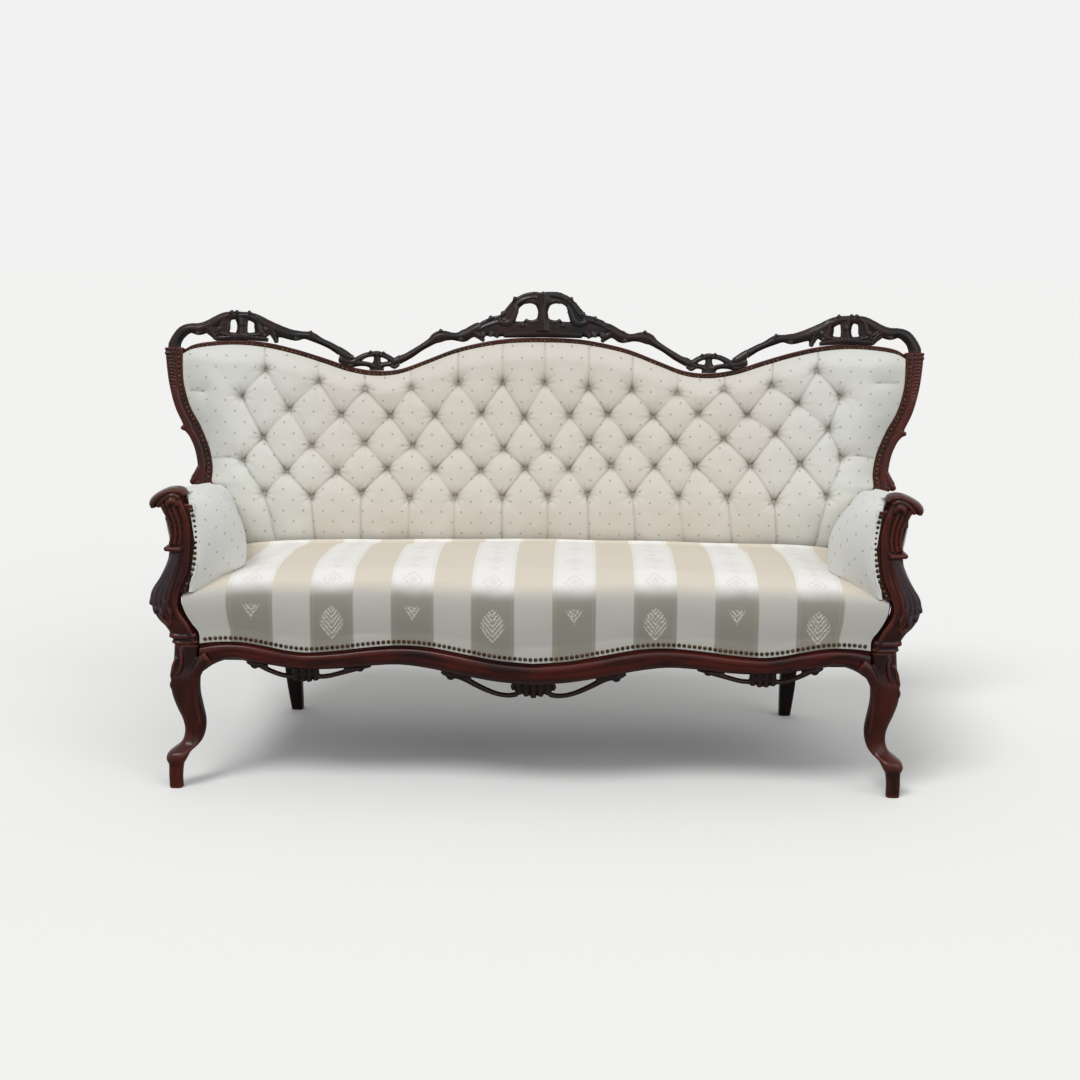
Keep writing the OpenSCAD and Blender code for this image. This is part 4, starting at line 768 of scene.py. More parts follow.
cloth_sheet("seat_hessian_cloth", 36, 12, level_sheet("seat_hessian"), (0, 0, 0.001), hessian,
            "seat_hessian")
cloth_sheet("dust_cover_cloth", 60, 12, under_seat, (0, 0, 0.001),
            woven("black_cotton", rgb("24221f"), rgb("121110"), 0.0012, "UV", 0.0002),
            "dust_cover")


# Seat
# One sprung seat: hair and wadding over the hessian, domed towards the middle, under a
# striped satin that runs over the front edge and down to the row of nails.
edge_height, crown = 0.440, 0.078
across_line = flowing(both_ways([
    (0, 1), (0.2, 0.985), (0.44, 0.91), (0.7, 0.84), (0.82, 0.75), (0.885, 0.66), (0.94, 0.5), (0.98, 0.3),
    (1, 0.16)]), 6)
row_crown = np.array([0, 0, 0, 0.1, 0.5, 0.8, 0.95, 0.9, 0.51, 0.43])
row_swell = np.array([0, 0.1, 1.1, 1.28, 1.2, 1.06, 1, 1, 1, 1, 0.8])
row_y = np.array([0.005, 0.005, 0.0015, 0.003, 0.0232, -0.2696, -0.1405, -0.0114, 0.1608, 0.1956, 0.2123])


def across_crown(x, y):
    """Share of the crown at a place across the seat. Its sides fall off more in the middle of its depth."""
    bend = np.interp(y, (-0.27, -0.01, 0.16, 0.2), (1, 1.6, 0.9, 0.8))
    return np.interp(np.abs(x) / seat_half, *across_line[:, :2].T) ** bend


def seat_height(x, y):
    """Height of the seat's top near its sides."""
    rise = np.interp(y, (-0.342, -0.3218, *row_y[5:10]), row_crown[3:])
    return edge_height + crown * rise * across_crown(x, y)


# The cover ends on the ledges of the back and side rails. Its rows from soft_start to soft_end
# form the front edge, which is rolled over softly
ledge_z, columns, face_steps = 0.3473, 420, 9
soft_start, soft_end = 13, 44
cover = []
for x in np.linspace(-1, 1, columns + 1) * (seat_half - 0.0003):
    nail, face = (np.interp(x, rail_x, k) for k in (nail_z, rail_y))
    ends = min(max((abs(x) / seat_half - 0.86) / 0.14, 0), 1)
    swell = arm_swell * math.copysign(ends * ends * (3 - 2 * ends), x)
    y = row_y + face * (np.arange(11) < 5)
    z = np.concatenate([
        [nail - 0.0085], nail + (edge_height - nail) * np.array([0.2, 0.6]),
        edge_height + crown * row_crown[3:] * across_crown(x, y[3:10]), [ledge_z]])
    outside = flowing(np.stack([x + row_swell * swell, y, z], 1), face_steps)
    for _ in range(26):
        before, after = outside[soft_start - 1:soft_end - 1], outside[soft_start + 1:soft_end + 1]
        outside[soft_start:soft_end] = (before + after) / 2
    low = np.interp(abs(x), (0.711, 0.730), (0.400, ledge_z))
    inner_x = x + 0.84 * swell
    inside = np.array([
        (inner_x, 0.1976, ledge_z), (inner_x, 0.1782, low), (inner_x, 0.1608, low), (inner_x, -0.0114, low),
        (inner_x, -0.1405, low), (x, face + 0.0745, low), (x, face + 0.0585, nail + 0.0163),
        (x, face + 0.0197, nail + 0.0163), (x, face + 0.0197, nail - 0.0085)])
    cover.append(np.vstack([outside, inside, outside[:1]]))
cover = np.array(cover)
edge_row = 3 * face_steps
# Slight unevenness of the stuffing, and the cloth's length from the front edge
for column in cover:
    for k in range(face_steps, 10 * face_steps):
        x, y, z = column[k]
        column[k, 2] += 0.0035 * noise.noise((x * 6, y * 9, 0.3)) * min(1, (k - face_steps) / 12)
        column[k, 1] -= 0.002 * noise.noise((x * 9, z * 14, 5.1)) * (k < edge_row + 8)
cloth_run = np.linalg.norm(np.diff(cover, axis=1), axis=2).cumsum(1)
cloth_run = np.hstack([0 * cloth_run[:, :1], cloth_run])
cloth_run -= cloth_run[:, edge_row:edge_row + 1]
around = cover.shape[1] - 1


def on_cover(u, v):
    return cover[np.rint(v * columns).astype(int), np.rint(u * around).astype(int)]


def seat_cloth(u, v):
    return np.stack([(2 * v - 1) * seat_half,
                     cloth_run[np.rint(v * columns).astype(int), np.rint(u * around).astype(int)]], 1)


material, f = started("striped_satin")
at = f.node("TexCoord", out="UV")
u, v, _ = f.parts(at)


def cell(value, pitch, shift=0.0):
    """Distance from the middle of the nearest cell, with its sign."""
    return ((value / pitch + shift).fraction() - 0.5) * pitch


across = cell(u, 0.18)
away = abs(across)
satin = 1 - away.step(0.0478, 0.0486)
piping = satin * (away.step(0.0398, 0.0404) * (1 - away.step(0.0418, 0.0424)) + away.step(0.0446, 0.0452))
speckle = f.cloud(at, 260, 3, 0.7)
sprig = f.cloud(at, 230, 3, 0.8)
# Share of the top, back from the front edge. It carries painted light: the top is painted as a pale sheen and
# the front border below the edge as shade
top = (v + f.cloud(at, 14, 3) * 0.02 - 0.01).step(-0.004, 0.050)


def diamond(wide, long, pitch, shift):
    """Share of the way out to the rim of a diamond set in rows along the stripe."""
    return away / wide + abs(cell(v, pitch, shift)) / long


large, small = diamond(0.026, 0.033, 0.12, 0.1), diamond(0.013, 0.016, 0.12, 0.6)
woven_motif = ((large.step(0.6, 0.7) * (1 - large.step(0.9, 1.02)) + (1 - large.step(0.4, 0.5))) * 0.5
               + (1 - small.step(0.8, 1.0)) * 0.45) * speckle.step(0.38, 0.62)
# Sprays of leaves on the front: a triangle that hangs by its base, and on every other stripe a
# larger pointed oval, both of small leaves that rise from a stem
lower = (u / 0.36).fraction() > 0.5
height = v + lower * 0.020 + 0.036
wide = lower * (0.030 - height * height * 20) + (1 - lower) * (height * 0.6 + 0.012)
inside = 1 - (away / wide.maths("MAXIMUM", wide, 0.001) + (sprig - 0.5) * 0.8).step(0.75, 1.0)
inside = inside * (1 - (height - lower * 0.02).step(0.013, 0.02)) * wide.step(0.0, 0.003)
leaves = (((v - away * 1.3) * 520).wave() * 0.07 + sprig).step(0.47, 0.57)
spray = inside * leaves
# Satin stripes: near white on top as a painted sheen, taupe on the front border as painted shade, with the
# woven motif on top and the sprays below
satin_tone = f.mix(top, rgb("8f8b80"), rgb("f4f3f0"))
satin_tone = f.mix(woven_motif.clamped() * top, satin_tone, rgb("c9c7c1"))
satin_tone = f.mix(spray * (1 - top) * 0.8, satin_tone, rgb("dddbd3"))
# The piping and the plain stripes are painted greyer on the front border, as shade
satin_tone = f.mix(piping.clamped() * 0.5, satin_tone, f.mix(top, rgb("a39f93"), rgb("dfd8ca")))
plain_tone = f.mix(top, rgb("bebdb6"), rgb("ded5c5"))
tone = f.mix(satin, plain_tone, satin_tone)
tone = f.mix(speckle * 0.12, tone, rgb("a9a397"))
ribs = (v * 4200).wave() * 0.5 + (u * 4200).wave()
f.surface("BsdfPrincipled", {"Base Color": tone, "Roughness": 0.85 - satin * 0.32,
                             "Normal": f.bump(0.25, 0.0004, ribs * 0.3 + speckle + woven_motif * 0.6)})
bm = bmesh.new()
rolled(bm, around, columns, on_cover, seat_cloth)
seat = made_piece("seat_cover_stuffed", closed_mesh("seat_cover_stuffed", bm, 60), material,
                  ["seat_pad"])


# Arm covers
# The arm rails carry a cotton lining on the inside and a dotted cover on the outside, both
# nailed out flat from the seat rail up to the arm rail.
arm_start, arm_end, arm_flare, arm_drop = -0.2834, 0.17237, 0.036, 0.052
lining_x, lining_low, lining_rise, lining_flare, sheet_gap = 0.7756, 0.327, 0.2754, 0.0216, 0.0125
# The back leans from its waist, the place from which heights on it are measured
back_lean, waist_y, waist_z = math.radians(11), 0.26147, 0.600


def back_face(z):
    """Front of the back frame at a height."""
    return waist_y + (z - waist_z) * math.tan(back_lean)


def arm_sheet(low_x, high_x):
    """Places on the inner face of a sheet beside an arm, from its lower front corner back and up."""
    def place(u, v):
        z = lining_low + (lining_rise - arm_drop * u) * v
        y = arm_start + (back_face(z) - sheet_gap - arm_start) * u
        return np.stack([low_x + (high_x + arm_flare * u - low_x) * v, y, z], 1)
    return place


def dotted(name, middle, sides, shade):
    """White cloth with small woven dots in staggered rows, a little greener away from the middle. The warmer
    middle and greener sides are painted light, and the crease attribute darkens it towards the shade colour
    as painted shade.
    """
    material, f = started(name)
    at = f.node("TexCoord", out="UV")
    u, v, _ = f.parts(at)
    dots = 0.0
    for shift in (0.0, 0.5):
        a, b = cell(u, 0.050, shift), cell(v, 0.056, shift)
        dots = dots + (1 - ((a * a + b * b) ** 0.5).step(0.0015, 0.0039))
    # Painted light: the share towards the sides, which are painted greener and cooler than the warmer middle
    side = abs(f.parts(f.node("TexCoord", out="Object"))[0]).step(0.40, 0.78)
    hollow = f.node("Attribute", out="Fac", attribute_name="crease")
    weave = f.cloud(at, 700, 2) + f.cloud(f.stretched(at, (1, 12, 1)), 60, 2) * 0.7
    patches = f.cloud(at, 9, 2)
    tone = f.mix(side, middle, sides)
    tone = f.mix(patches.step(0.35, 0.7) * 0.12, tone, rgb("e9e2da"))
    tone = f.mix(weave.step(0.6, 1.1) * 0.10, tone, rgb("b8b4ac"))
    tone = f.mix(dots.clamped() * 0.6, tone, rgb("8f8d8a"))
    # Painted shade in the creases and round the buttons, read from the crease attribute
    tone = f.mix(hollow.clamped(), tone, shade)
    f.surface("BsdfPrincipled", {"Base Color": tone, "Roughness": 0.9, "Specular IOR Level": 0.25,
                                 "Normal": f.bump(0.3, 0.0004, weave)})
    return material


# The arms' dotted cloth is painted whiter than the back's, as painted light on the arm pads; it also dresses
# the outside covers
arm_cloth = dotted("dotted_arm_cloth", rgb("e8e9e6"), rgb("e8e9e6"), rgb("a5a29b"))
calico = woven("calico", rgb("cdc5b3"), rgb("a39a86"), 0.0012, "UV", 0.0002)
for sign, side in ((1, "right"), (-1, "left")):
    for name, low_x, high_x, cloth, slot in (
            ("arm_lining_", lining_x, lining_x + lining_flare, calico, "linen"),
            ("arm_outside_cover_", 0.7790, 0.8262, arm_cloth, "dotted_cloth")):
        sheet_place = arm_sheet(low_x, high_x)
        cloth_sheet(name + side + "_cloth", 30, 16, lambda u, v: sheet_place(u, v) * (sign, 1, 1),
                    (sign * 0.003, 0, 0), cloth, name + side)


# Arm padding
# Hair stuffing over each arm, rounded over the seat and narrower towards the back. Its cover
# is drawn over the front, nailed down the arm front's flange, and tucked in at the seat.
rail_top, rail_front, pad_front, arm_reach, round_depth = 0.6407, -0.2858, -0.3367, 0.136, 0.145
# Shares of the arm's length, and the fullness of the padding there
ring_place = [0.2, 0.4, 0.7, 0.9, 0.97, 1]
ring_full = [1, 0.9, 0.72, 0.6, 0.57, 0.55]


def lining_at(z, place):
    """How far out the lining is at a height, and at a share of the arm's length."""
    rise = (z - lining_low) / (lining_rise - arm_drop * place)
    return lining_x + (lining_flare + arm_flare * place) * rise


def fullness(y):
    """Share of its fullness that the padding has at a depth. It is rounded over towards its front."""
    place = (y - arm_start) / (arm_end - arm_start)
    ahead = 1 - np.clip((y - pad_front) / round_depth, 0, 1)
    return np.interp(place, ring_place, ring_full) * (0.48 + 0.52 * (1 - ahead ** 2) ** 0.6)


def over_seat(x, y):
    """Height of the padding's underside, a little above the seat."""
    return seat_height(x, y) + 0.003


def arm_section(place, full, y):
    """Outline of the padding across the arm, from its toe on the seat over the top and underneath."""
    x0 = 0.7957 + arm_flare * place
    reach = arm_reach * full
    tuck = 0.6 * (1 - np.clip((y - pad_front) / round_depth, 0, 1)) ** 1.5
    top = 0.674 - (1 - full) * (1 - tuck) * 0.022 - arm_drop * place
    ledge = rail_top - arm_drop * (y - rail_front) / 0.5326 + 0.0006
    toe_x = x0 - reach * (1 - tuck)
    toe = over_seat(toe_x, y)
    over = [(x0 - reach * (1 - p - tuck * (1 - q) ** 2), toe + (top - toe) * q) for p, q in (
        (0.03, 0), (0, 0.2), (0.02, 0.4), (0.11, 0.6), (0.28, 0.79), (0.49, 0.92), (0.74, 0.985),
        (0.97, 0.98))]
    over += [(x0 + 0.0335 * p, ledge + (top - ledge) * q) for p, q in (
        (0.4, 0.94), (0.85, 0.82), (1, 0.6), (1, 0.1))]
    high = (x0, 0.6021 - arm_drop * place)
    foot_x = lining_at(edge_height, place) - 0.003
    foot = (foot_x, over_seat(foot_x, y))
    under_x = [foot_x + (toe_x - foot_x) * p for p in (0.25, 0.5, 0.75)]
    under = [(x, over_seat(x, y)) for x in under_x]
    down = [tuple(np.array(foot) + (np.array(high) - foot) * p) for p in (0.8, 0.6, 0.4, 0.2)]
    return np.vstack([flowing(over, 5), [(x0, ledge), high], down, [foot], under])


def stile_edge(v):
    """Where the back's padding ends beside the stile, or above the seat beside the arm."""
    z = waist_z + v * math.cos(back_lean)
    low_x = lining_at(np.minimum(z, 0.5504), 1) - 0.003
    blend = np.clip((v + 0.010) / 0.024, 0, 1)
    return low_x + (stile_inner(v) - 0.0009 - low_x) * blend * blend * (3 - 2 * blend)


stile_reach, stile_width, back_height = 0.94536, 0.044, 0.5078
# Height above the waist, place across and width of the stile: below its bend, and above it
stile_line = flowing([(-0.31886 * s, 0.7976 + 0.0646 * k, stile_width) for s, k in (
    (1, 0), (0.75, 0.04), (0.48, 0.27), (0.22, 0.68))] + [
    (back_height * s, stile_reach * r, stile_width * w) for s, r, w in (
        (0, 0.912, 0.98), (0.09, 0.91, 0.95), (0.18, 0.918, 0.95), (0.25, 0.933, 1), (0.285, 0.945, 1.15),
        (0.313, 0.95, 1.06), (0.4, 0.974, 0.97), (0.51, 0.991, 0.95), (0.6, 0.997, 1.02), (0.67, 1, 1.06),
        (0.7, 1, 1.12))], 6)


def stile_inner(v):
    """Inner edge of the stile at a height above the waist."""
    return np.interp(v, stile_line[:, 0], stile_line[:, 1] - stile_line[:, 2] / 2)


def arm_pad_end(x, z):
    """Depth at which the arm's padding meets the back's padding."""
    inside = stile_edge((z - waist_z) / math.cos(back_lean)) - x
    return back_face(z) - np.interp(inside, (-0.0045, -0.003, 0, 0.0499, 0.0998),
                                    (0.0135, 0.0243, 0.0243, 0.0559, 0.0660)) / math.cos(back_lean)


def beside_arm(z):
    """How far out the padding may reach beside the arm front: to the flange, and above it to the head."""
    inner = np.array([min(flange(h + k)[0] for k in (-0.012, 0, 0.012)) - 0.0015 for h in z])
    return inner + 0.009 * np.clip((z - 0.649) / 0.004, 0, 1)


rings = []
for place in np.concatenate([np.linspace(0.97, 0.1, 34), np.linspace(0.09, 0, 6)]):
    y0 = arm_start + (arm_end - arm_start) * place
    ring = arm_section(place, fullness(y0), y0)
    y = arm_start + (arm_pad_end(ring[:, 0], ring[:, 1]) - arm_start) * place
    rings.append(np.stack([ring[:, 0], y, ring[:, 1]], 1))
# The rear end is a flat facing against the back's padding
last = arm_section(1, 0.55, arm_end)
last = np.stack([last[:, 0], arm_pad_end(last[:, 0], last[:, 1]), last[:, 1]], 1)
rings.insert(0, last)
hub_x, hub_z = 0.8270, 0.5932
hub = np.array([hub_x, arm_pad_end(hub_x, hub_z), hub_z])
for share in (0.8, 0.55, 0.3, 0.04):
    ring = hub + (last - hub) * share
    ring[:, 1] = arm_pad_end(ring[:, 0], ring[:, 2])
    rings.insert(0, ring)
# In front the padding is rounded back from the flange that its cover is nailed to
front_hub = np.array([0.7520, 0.5600])
shrunk = (0.08, 0.25, 0.5, 0.75, 0.97)
for y, shrink, out, proud in (
        *[(y, 0, 0, 0) for y in (-0.286, -0.292, -0.300, -0.307, -0.313, -0.319, -0.324, -0.3285, -0.332)],
        (-0.3345, 0, 0.0068, 0.0003), (-0.3358, 0, 0.0070, 0.0016), (-0.3365, 0, 0.0030, 0.0024),
        *[(-0.3367 - 0.0008 * share, share, 0, 0.0028 * (share < 0.1)) for share in shrunk]):
    full = float(fullness(max(y, -0.3360)))
    ring = arm_section(0, full, max(y, -0.3217))
    z = ring[:, 1]
    edge = beside_arm(z)
    # Where the outline meets the arm front, the cover folds out over the flange
    flap = np.clip((ring[:, 0] - edge) / 0.006, 0, 1) * (proud > 0)
    flap = flap * np.clip((z - 0.452) / 0.01, 0, 1) * np.clip((0.642 - z) / 0.01, 0, 1)
    flange_y = np.array([flange(min(max(h, 0.45), 0.659))[1] for h in z])
    x = np.minimum(ring[:, 0], edge) + out * flap
    depth = y + (flange_y - proud - y) * flap
    x, z = x + (front_hub[0] - x) * shrink, z + (front_hub[1] - z) * shrink
    rings.append(np.stack([x, depth, z], 1))
rings = np.array(rings)
lengths = np.linalg.norm(np.diff(rings, axis=1), axis=2).cumsum(1)
lengths = np.hstack([0 * lengths[:, :1], lengths])
count, around = len(rings) - 1, rings.shape[1]
pad_rings = np.concatenate([rings, rings[:, :1]], 1)
pad_lengths = np.hstack([lengths, lengths[:, -1:] + 0.13])


def on_arm_pad(u, v):
    return pad_rings[np.rint(v * count).astype(int), np.rint(u * around).astype(int)]


side_run = np.linalg.norm(np.diff(rings[:, 10], axis=0), axis=1).cumsum()
side_run = np.concatenate([[0], side_run])


def arm_pad_cloth(u, v):
    """The cloth's own coordinates: back along the arm, and up and over it."""
    k, j = np.rint(v * count).astype(int), np.rint(u * around).astype(int)
    up = np.where(k > count - len(shrunk), pad_rings[k, j, 2] - 0.48, pad_lengths[k, j])
    return np.stack([side_run[k], up], 1)


bm = bmesh.new()
rolled(bm, around, count, on_arm_pad, arm_pad_cloth)
for pad in pair("arm_pad_%s_stuffed", closed_mesh("arm_pad_right_stuffed", bm, 70), arm_cloth,
                "arm_pad_"):
    pad.data.shade_smooth()


# Back frame
# Two raked stiles with a beaded inner moulding and a reeded outer band, which turn into the
# moulded top rail. The stiles end in a small scroll at the arm and a capital under the crest.
def on_back(x, t, v):
    """A place in the raked back: across, behind the frame's face, and up the back from the waist."""
    y = waist_y + v * math.sin(back_lean) + t * math.cos(back_lean)
    z = waist_z + v * math.cos(back_lean) - t * math.sin(back_lean)
    return np.stack(np.broadcast_arrays(x, y, z), -1)


toward_front = tuple(on_back(0.0, -1.0, 0.0) - on_back(0.0, 0.0, 0.0))
# Section of a stile from its inner to its outer edge: share across, depth behind the frame's face
stile_section = [
    (-0.97, 0.026), (-1, 0.024), (-1, -0.0095), (-0.94, -0.0114), (-0.8, -0.012), (-0.52, -0.012),
    (-0.24, -0.0118), (-0.16, -0.010), (-0.12, -0.0075), (-0.06, -0.0075), (0, -0.0105),
    (0.12, -0.0118), (0.3, -0.0120), (0.5, -0.0119), (0.7, -0.0112), (0.86, -0.0098), (0.96, -0.007),
    (1, -0.002), (1, 0.024), (0.97, 0.026)]
stile_rows = 299
stile_v = np.linspace(-0.3186, 0.3553, stile_rows + 1)


def stile_place(u, v):
    n = len(stile_section)
    k, row = np.rint(u * n).astype(int) % n, np.rint(v * stile_rows).astype(int)
    share, t = np.array(stile_section)[k].T
    height = stile_v[row]
    x, w = (np.interp(height, stile_line[:, 0], stile_line[:, c]) for c in (1, 2))
    scales = (share > 0.02) * (share < 0.97) * (t < 0) * np.clip((height - 0.235) / 0.02, 0, 1)
    t = t + 0.0026 * scales * np.abs(np.sin((height + 0.006 * np.abs(share - 0.5)) * np.pi / 0.0085)) ** 0.6
    return on_back(x + share * w / 2, t, height)


def back_limb(bm, points, t=0.006, thick=0.018, reeds=0, depth=0.0):
    """A carved stem in the back's plane, through [x, v, width] in millimetres."""
    limb(bm, [(*on_back(x, t, v), w, min(thick, w * 1.7)) for x, v, w in flowing(millimetres(points), 5)],
         toward_front, 14, reeds, depth)


bm = bmesh.new()
rolled(bm, len(stile_section), stile_rows, stile_place)
bmesh.ops.holes_fill(bm, edges=bm.edges, sides=0)
# Scroll at the foot, leaf at the bend, and the capital's mouldings
back_limb(bm, [(876, 50, 14), (881, 34, 20), (887, 20, 24), (893, 13, 20), (900, 14, 11)], -0.001, 0.026)
back_limb(bm, [(886, 10, 10), (876, 8, 10), (866, 10, 8)], -0.004, 0.018)
back_limb(bm, [(900, 162, 12), (910, 155, 18), (919, 150, 16), (926, 151, 8)], -0.001, 0.022)
for v, reach in ((352.5, 24.5), (341.5, 24)):
    back_limb(bm, [(945.4 + k * reach, v, 5.5) for k in (-1, -0.5, 0, 0.5, 1)], -0.0065, 0.012)
for vert in bm.verts:
    vert.co.x = min(vert.co.x, half_width)
pair("back_stile_%s_carved", carved("stile_right_carved", bm, 0.0017, 1), rosewood_carved,
     "back_stile_")

top_line = flowing(both_ways([(x * half_width, v * back_height) for x, v in (
    (0, 0.766), (0.09, 0.76), (0.16, 0.74), (0.23, 0.707), (0.298, 0.657), (0.359, 0.612),
    (0.396, 0.596), (0.433, 0.592), (0.469, 0.598), (0.515, 0.616), (0.572, 0.652), (0.612, 0.676),
    (0.654, 0.699), (0.709, 0.724), (0.754, 0.737), (0.797, 0.743), (0.837, 0.742), (0.868, 0.737),
    (0.903, 0.729), (0.93, 0.716), (0.94897, 0.695))]), 5)


def top_height(x):
    """Upper edge of the top rail, above the waist."""
    return np.interp(x, *top_line.T)


# Section of the top rail: depth behind the frame's face, height below its upper edge
top_section = [
    (0.026, -0.038), (0.0, -0.038), (0.0, -0.0152), (0.0012, -0.0146), (0.0012, -0.0058),
    (0.0004, -0.0052), (0.0002, -0.004), (0.001, -0.0024), (0.003, -0.0008), (0.006, 0), (0.026, 0)]


def top_place(u, v):
    n = len(top_section)
    t, drop = np.array(top_section)[np.rint(u * n).astype(int) % n].T
    x, height = top_line[np.rint(v * (len(top_line) - 1)).astype(int)].T
    return on_back(x, t, height + drop)


bm = bmesh.new()
rolled(bm, len(top_section), len(top_line) - 1, top_place, (0.15, 2.0))
made_piece("back_top_rail_moulded", marked(closed_mesh("back_top_rail_moulded", bm, 40)), rosewood,
           ["back_top_rail"])


# Back cloths
# Hessian is nailed over the webbing in front, and behind the frame a dotted cover closes the
# back. Both are cut to the shape of the frame and stretched from rail to rail.
def back_sheet(low_v, past, drop, t):
    """Places on a sheet behind the back's padding, from its lower left corner."""
    def place(u, v):
        side, height = 2 * u - 1, low_v + v * (0.353 - low_v)
        for _ in range(4):
            x = side * (np.minimum(stile_inner(height), 0.9205) + past)
            height = low_v + (top_height(np.clip(x, -0.9205, 0.9205)) - drop - low_v) * v
        return on_back(x, t, height)
    return place


def behind(distance):
    """A move straight back through the frame."""
    return tuple(-distance * k for k in toward_front)


pad_low = -0.1451
cloth_sheet("back_hessian_cloth", 80, 24, back_sheet(pad_low, -0.0015, 0.019, -0.004), behind(0.001),
            hessian, "back_hessian")
# Painted light: warmer in the middle and greener at the sides; 8d877d is painted shade for its creases and
# buttons
back_cloth = dotted("dotted_back_cloth", rgb("dcd6cc"), rgb("dedfd8"), rgb("8d877d"))
cloth_sheet("back_outside_cloth", 90, 30, back_sheet(-0.2739, 0.0147, 0.0127, 0.0263), behind(0.002),
            arm_cloth, "back_outside_cover")


# Back padding
# Hair stuffing tied through to the webbing by five rows of covered buttons. The dotted
# cloth is folded into pleats from button to button, and out to the rails above and below.
buttons = [[(x / 1000, v / 1000) for x, v in row] for row in (
    ((-701, 295), (-565, 266), (-448, 247), (-331, 252), (-211, 264), (-99, 267), (7, 266), (118, 255),
     (228, 251), (342, 244), (459, 255), (578, 265), (692, 303)),
    ((-640, 196), (-508, 182), (-383, 181), (-270, 182), (-152, 188), (-43, 180), (71, 185), (167, 189),
     (282, 185), (395, 191), (518, 189), (645, 220), (752, 239)),
    ((-761, 227), (-705, 124), (-582, 103), (-448, 111), (-325, 105), (-208, 106), (-95, 99), (17, 101),
     (122, 119), (224, 123), (338, 121), (460, 129), (590, 143), (722, 156)),
    ((-645, 38), (-517, 37), (-389, 47), (-269, 46), (-152, 44), (-39, 51), (70, 49), (177, 59),
     (286, 58), (389, 61), (528, 63), (653, 68), (755, 85)),
    ((-756, 65), (-701, -18), (-581, -25), (-454, -15), (-332, -28), (-217, -23), (-97, -22), (18, -21),
     (118, -13), (231, -12), (348, -18), (470, -18), (588, -27), (720, -13)))]
tucks = [(x / 1000, -0.145) for x in (-673, -573, -456, -337, -220, -98, 18, 124, 243, 365, 487, 599, 694)]
pleats = []
every_button = sum(buttons, [])
for i, p in enumerate(every_button):
    for q in every_button[i + 1:]:
        if abs(p[1] - q[1]) > 0.040 and math.dist(p, q) < 0.118:
            pleats.append((p, q))
for p in buttons[0]:
    pleats.append((p, (p[0] * 1.01, top_height(p[0]) - 0.014)))
lowest = [p for p in buttons[4] if p[1] < 0]
pleats += list(zip(lowest, tucks))
for points in (
        [(-756, 65), (-735, 30), (-701, -18), (-682, -80), (-673, -145)],
        [(755, 85), (742, 38), (720, -13), (702, -80), (694, -145)],
        [(-756, 65), (-790, 73), (-838, 72)], [(755, 85), (795, 91), (838, 86)],
        [(-895, 243), (-860, 239)], [(840, 272), (895, 274)]):
    points = millimetres(points)
    pleats += list(zip(points, points[1:]))
pad_drop, pad_set, pad_thick, across_count, up_count = 0.01575, -0.005, 0.060, 620, 180


def pad_edge(v):
    """How far out the back's padding reaches at a height above the waist."""
    return np.minimum(stile_edge(v), 0.9196)


def away_from(points, a, b):
    """Distance of each point from the line between two others, and its share along it."""
    a, b = np.array(a), np.array(b)
    share = np.clip(((points - a) @ (b - a)) / ((b - a) @ (b - a)), 0, 1)
    return np.linalg.norm(points - a - share[:, None] * (b - a), axis=1), share


def rounding(distance, reach, power):
    """Fullness of the padding at a distance from its rim."""
    return 0.28 + 0.72 * (1 - (1 - np.clip(distance / reach, 0, 1)) ** power)


def padding(u, v):
    """Places on the padding's face, each with its share of shade."""
    side = 2 * u - 1
    height = pad_low + v * (0.34 - pad_low)
    for _ in range(6):
        x = side * pad_edge(height)
        height = pad_low + v * (top_height(x) - pad_drop - pad_low)
    points = np.stack([x, height], 1)
    from_side = pad_edge(height) - np.abs(x)
    from_top = top_height(x) - pad_drop - height
    full = 1 - np.hypot(1 - rounding(from_side, 0.100, 1.85), 1 - rounding(from_top, 0.055, 2))
    full = np.clip(full, 0.2, 1) * rounding(height - pad_low, 0.14, 1.7)
    near, crease = np.full(len(x), 1.0), np.zeros(len(x))
    for a, b in pleats:
        distance, share = away_from(points, a, b)
        near = np.minimum(near, distance)
        depth = 0.72 + 0.28 * math.sin(a[0] * 91 + b[1] * 57)
        fold = np.exp(-(distance / 0.0023) ** 2) * (0.5 + 0.5 * (2 * share - 1) ** 2)
        crease = np.maximum(crease, fold * depth)
    to_button = np.full(len(x), 1.0)
    star = np.zeros(len(x))
    for bx, bv in every_button:
        distance = np.hypot(x - bx, height - bv)
        to_button = np.minimum(to_button, distance)
        turn = np.arctan2(height - bv, x - bx)
        star += (np.exp(-(distance / 0.024) ** 2) * np.cos(9 * turn + bx * 70)
                 * np.clip((distance - 0.004) / 0.008, 0, 1))
    inner = np.clip(from_side / 0.05, 0, 1) * np.clip(from_top / 0.035, 0, 1)
    valley = (1 - np.clip(near / 0.040, 0, 1)) ** 2.1 * 0.0070
    dimple = np.exp(-(to_button / 0.016) ** 1.25) * 0.018
    folds = crease * 0.0032
    soft = np.array([noise.noise((a * 13, b * 13, 2.7)) + 0.5 * noise.noise((a * 31, b * 31, 9.1))
                     for a, b in points])
    depth = pad_set - pad_thick * full + (valley + dimple + folds + star * 0.0016) * (0.25 + 0.75 * inner)
    depth = np.clip(depth + soft * 0.0026 * inner, -0.066, -0.0195 - 0 * x)
    shade = crease * 0.8 + np.exp(-(to_button / 0.011) ** 2) * 0.7 + np.clip(star, 0, 1) * 0.16
    return np.column_stack([on_back(x, depth, height), np.clip(shade, 0, 1)])


def flat_cloth(u, v):
    """The cloth's own coordinates on the padding, in metres."""
    p = padding(u, v)
    return np.stack([p[:, 0], p[:, 2] / math.cos(back_lean)], 1)


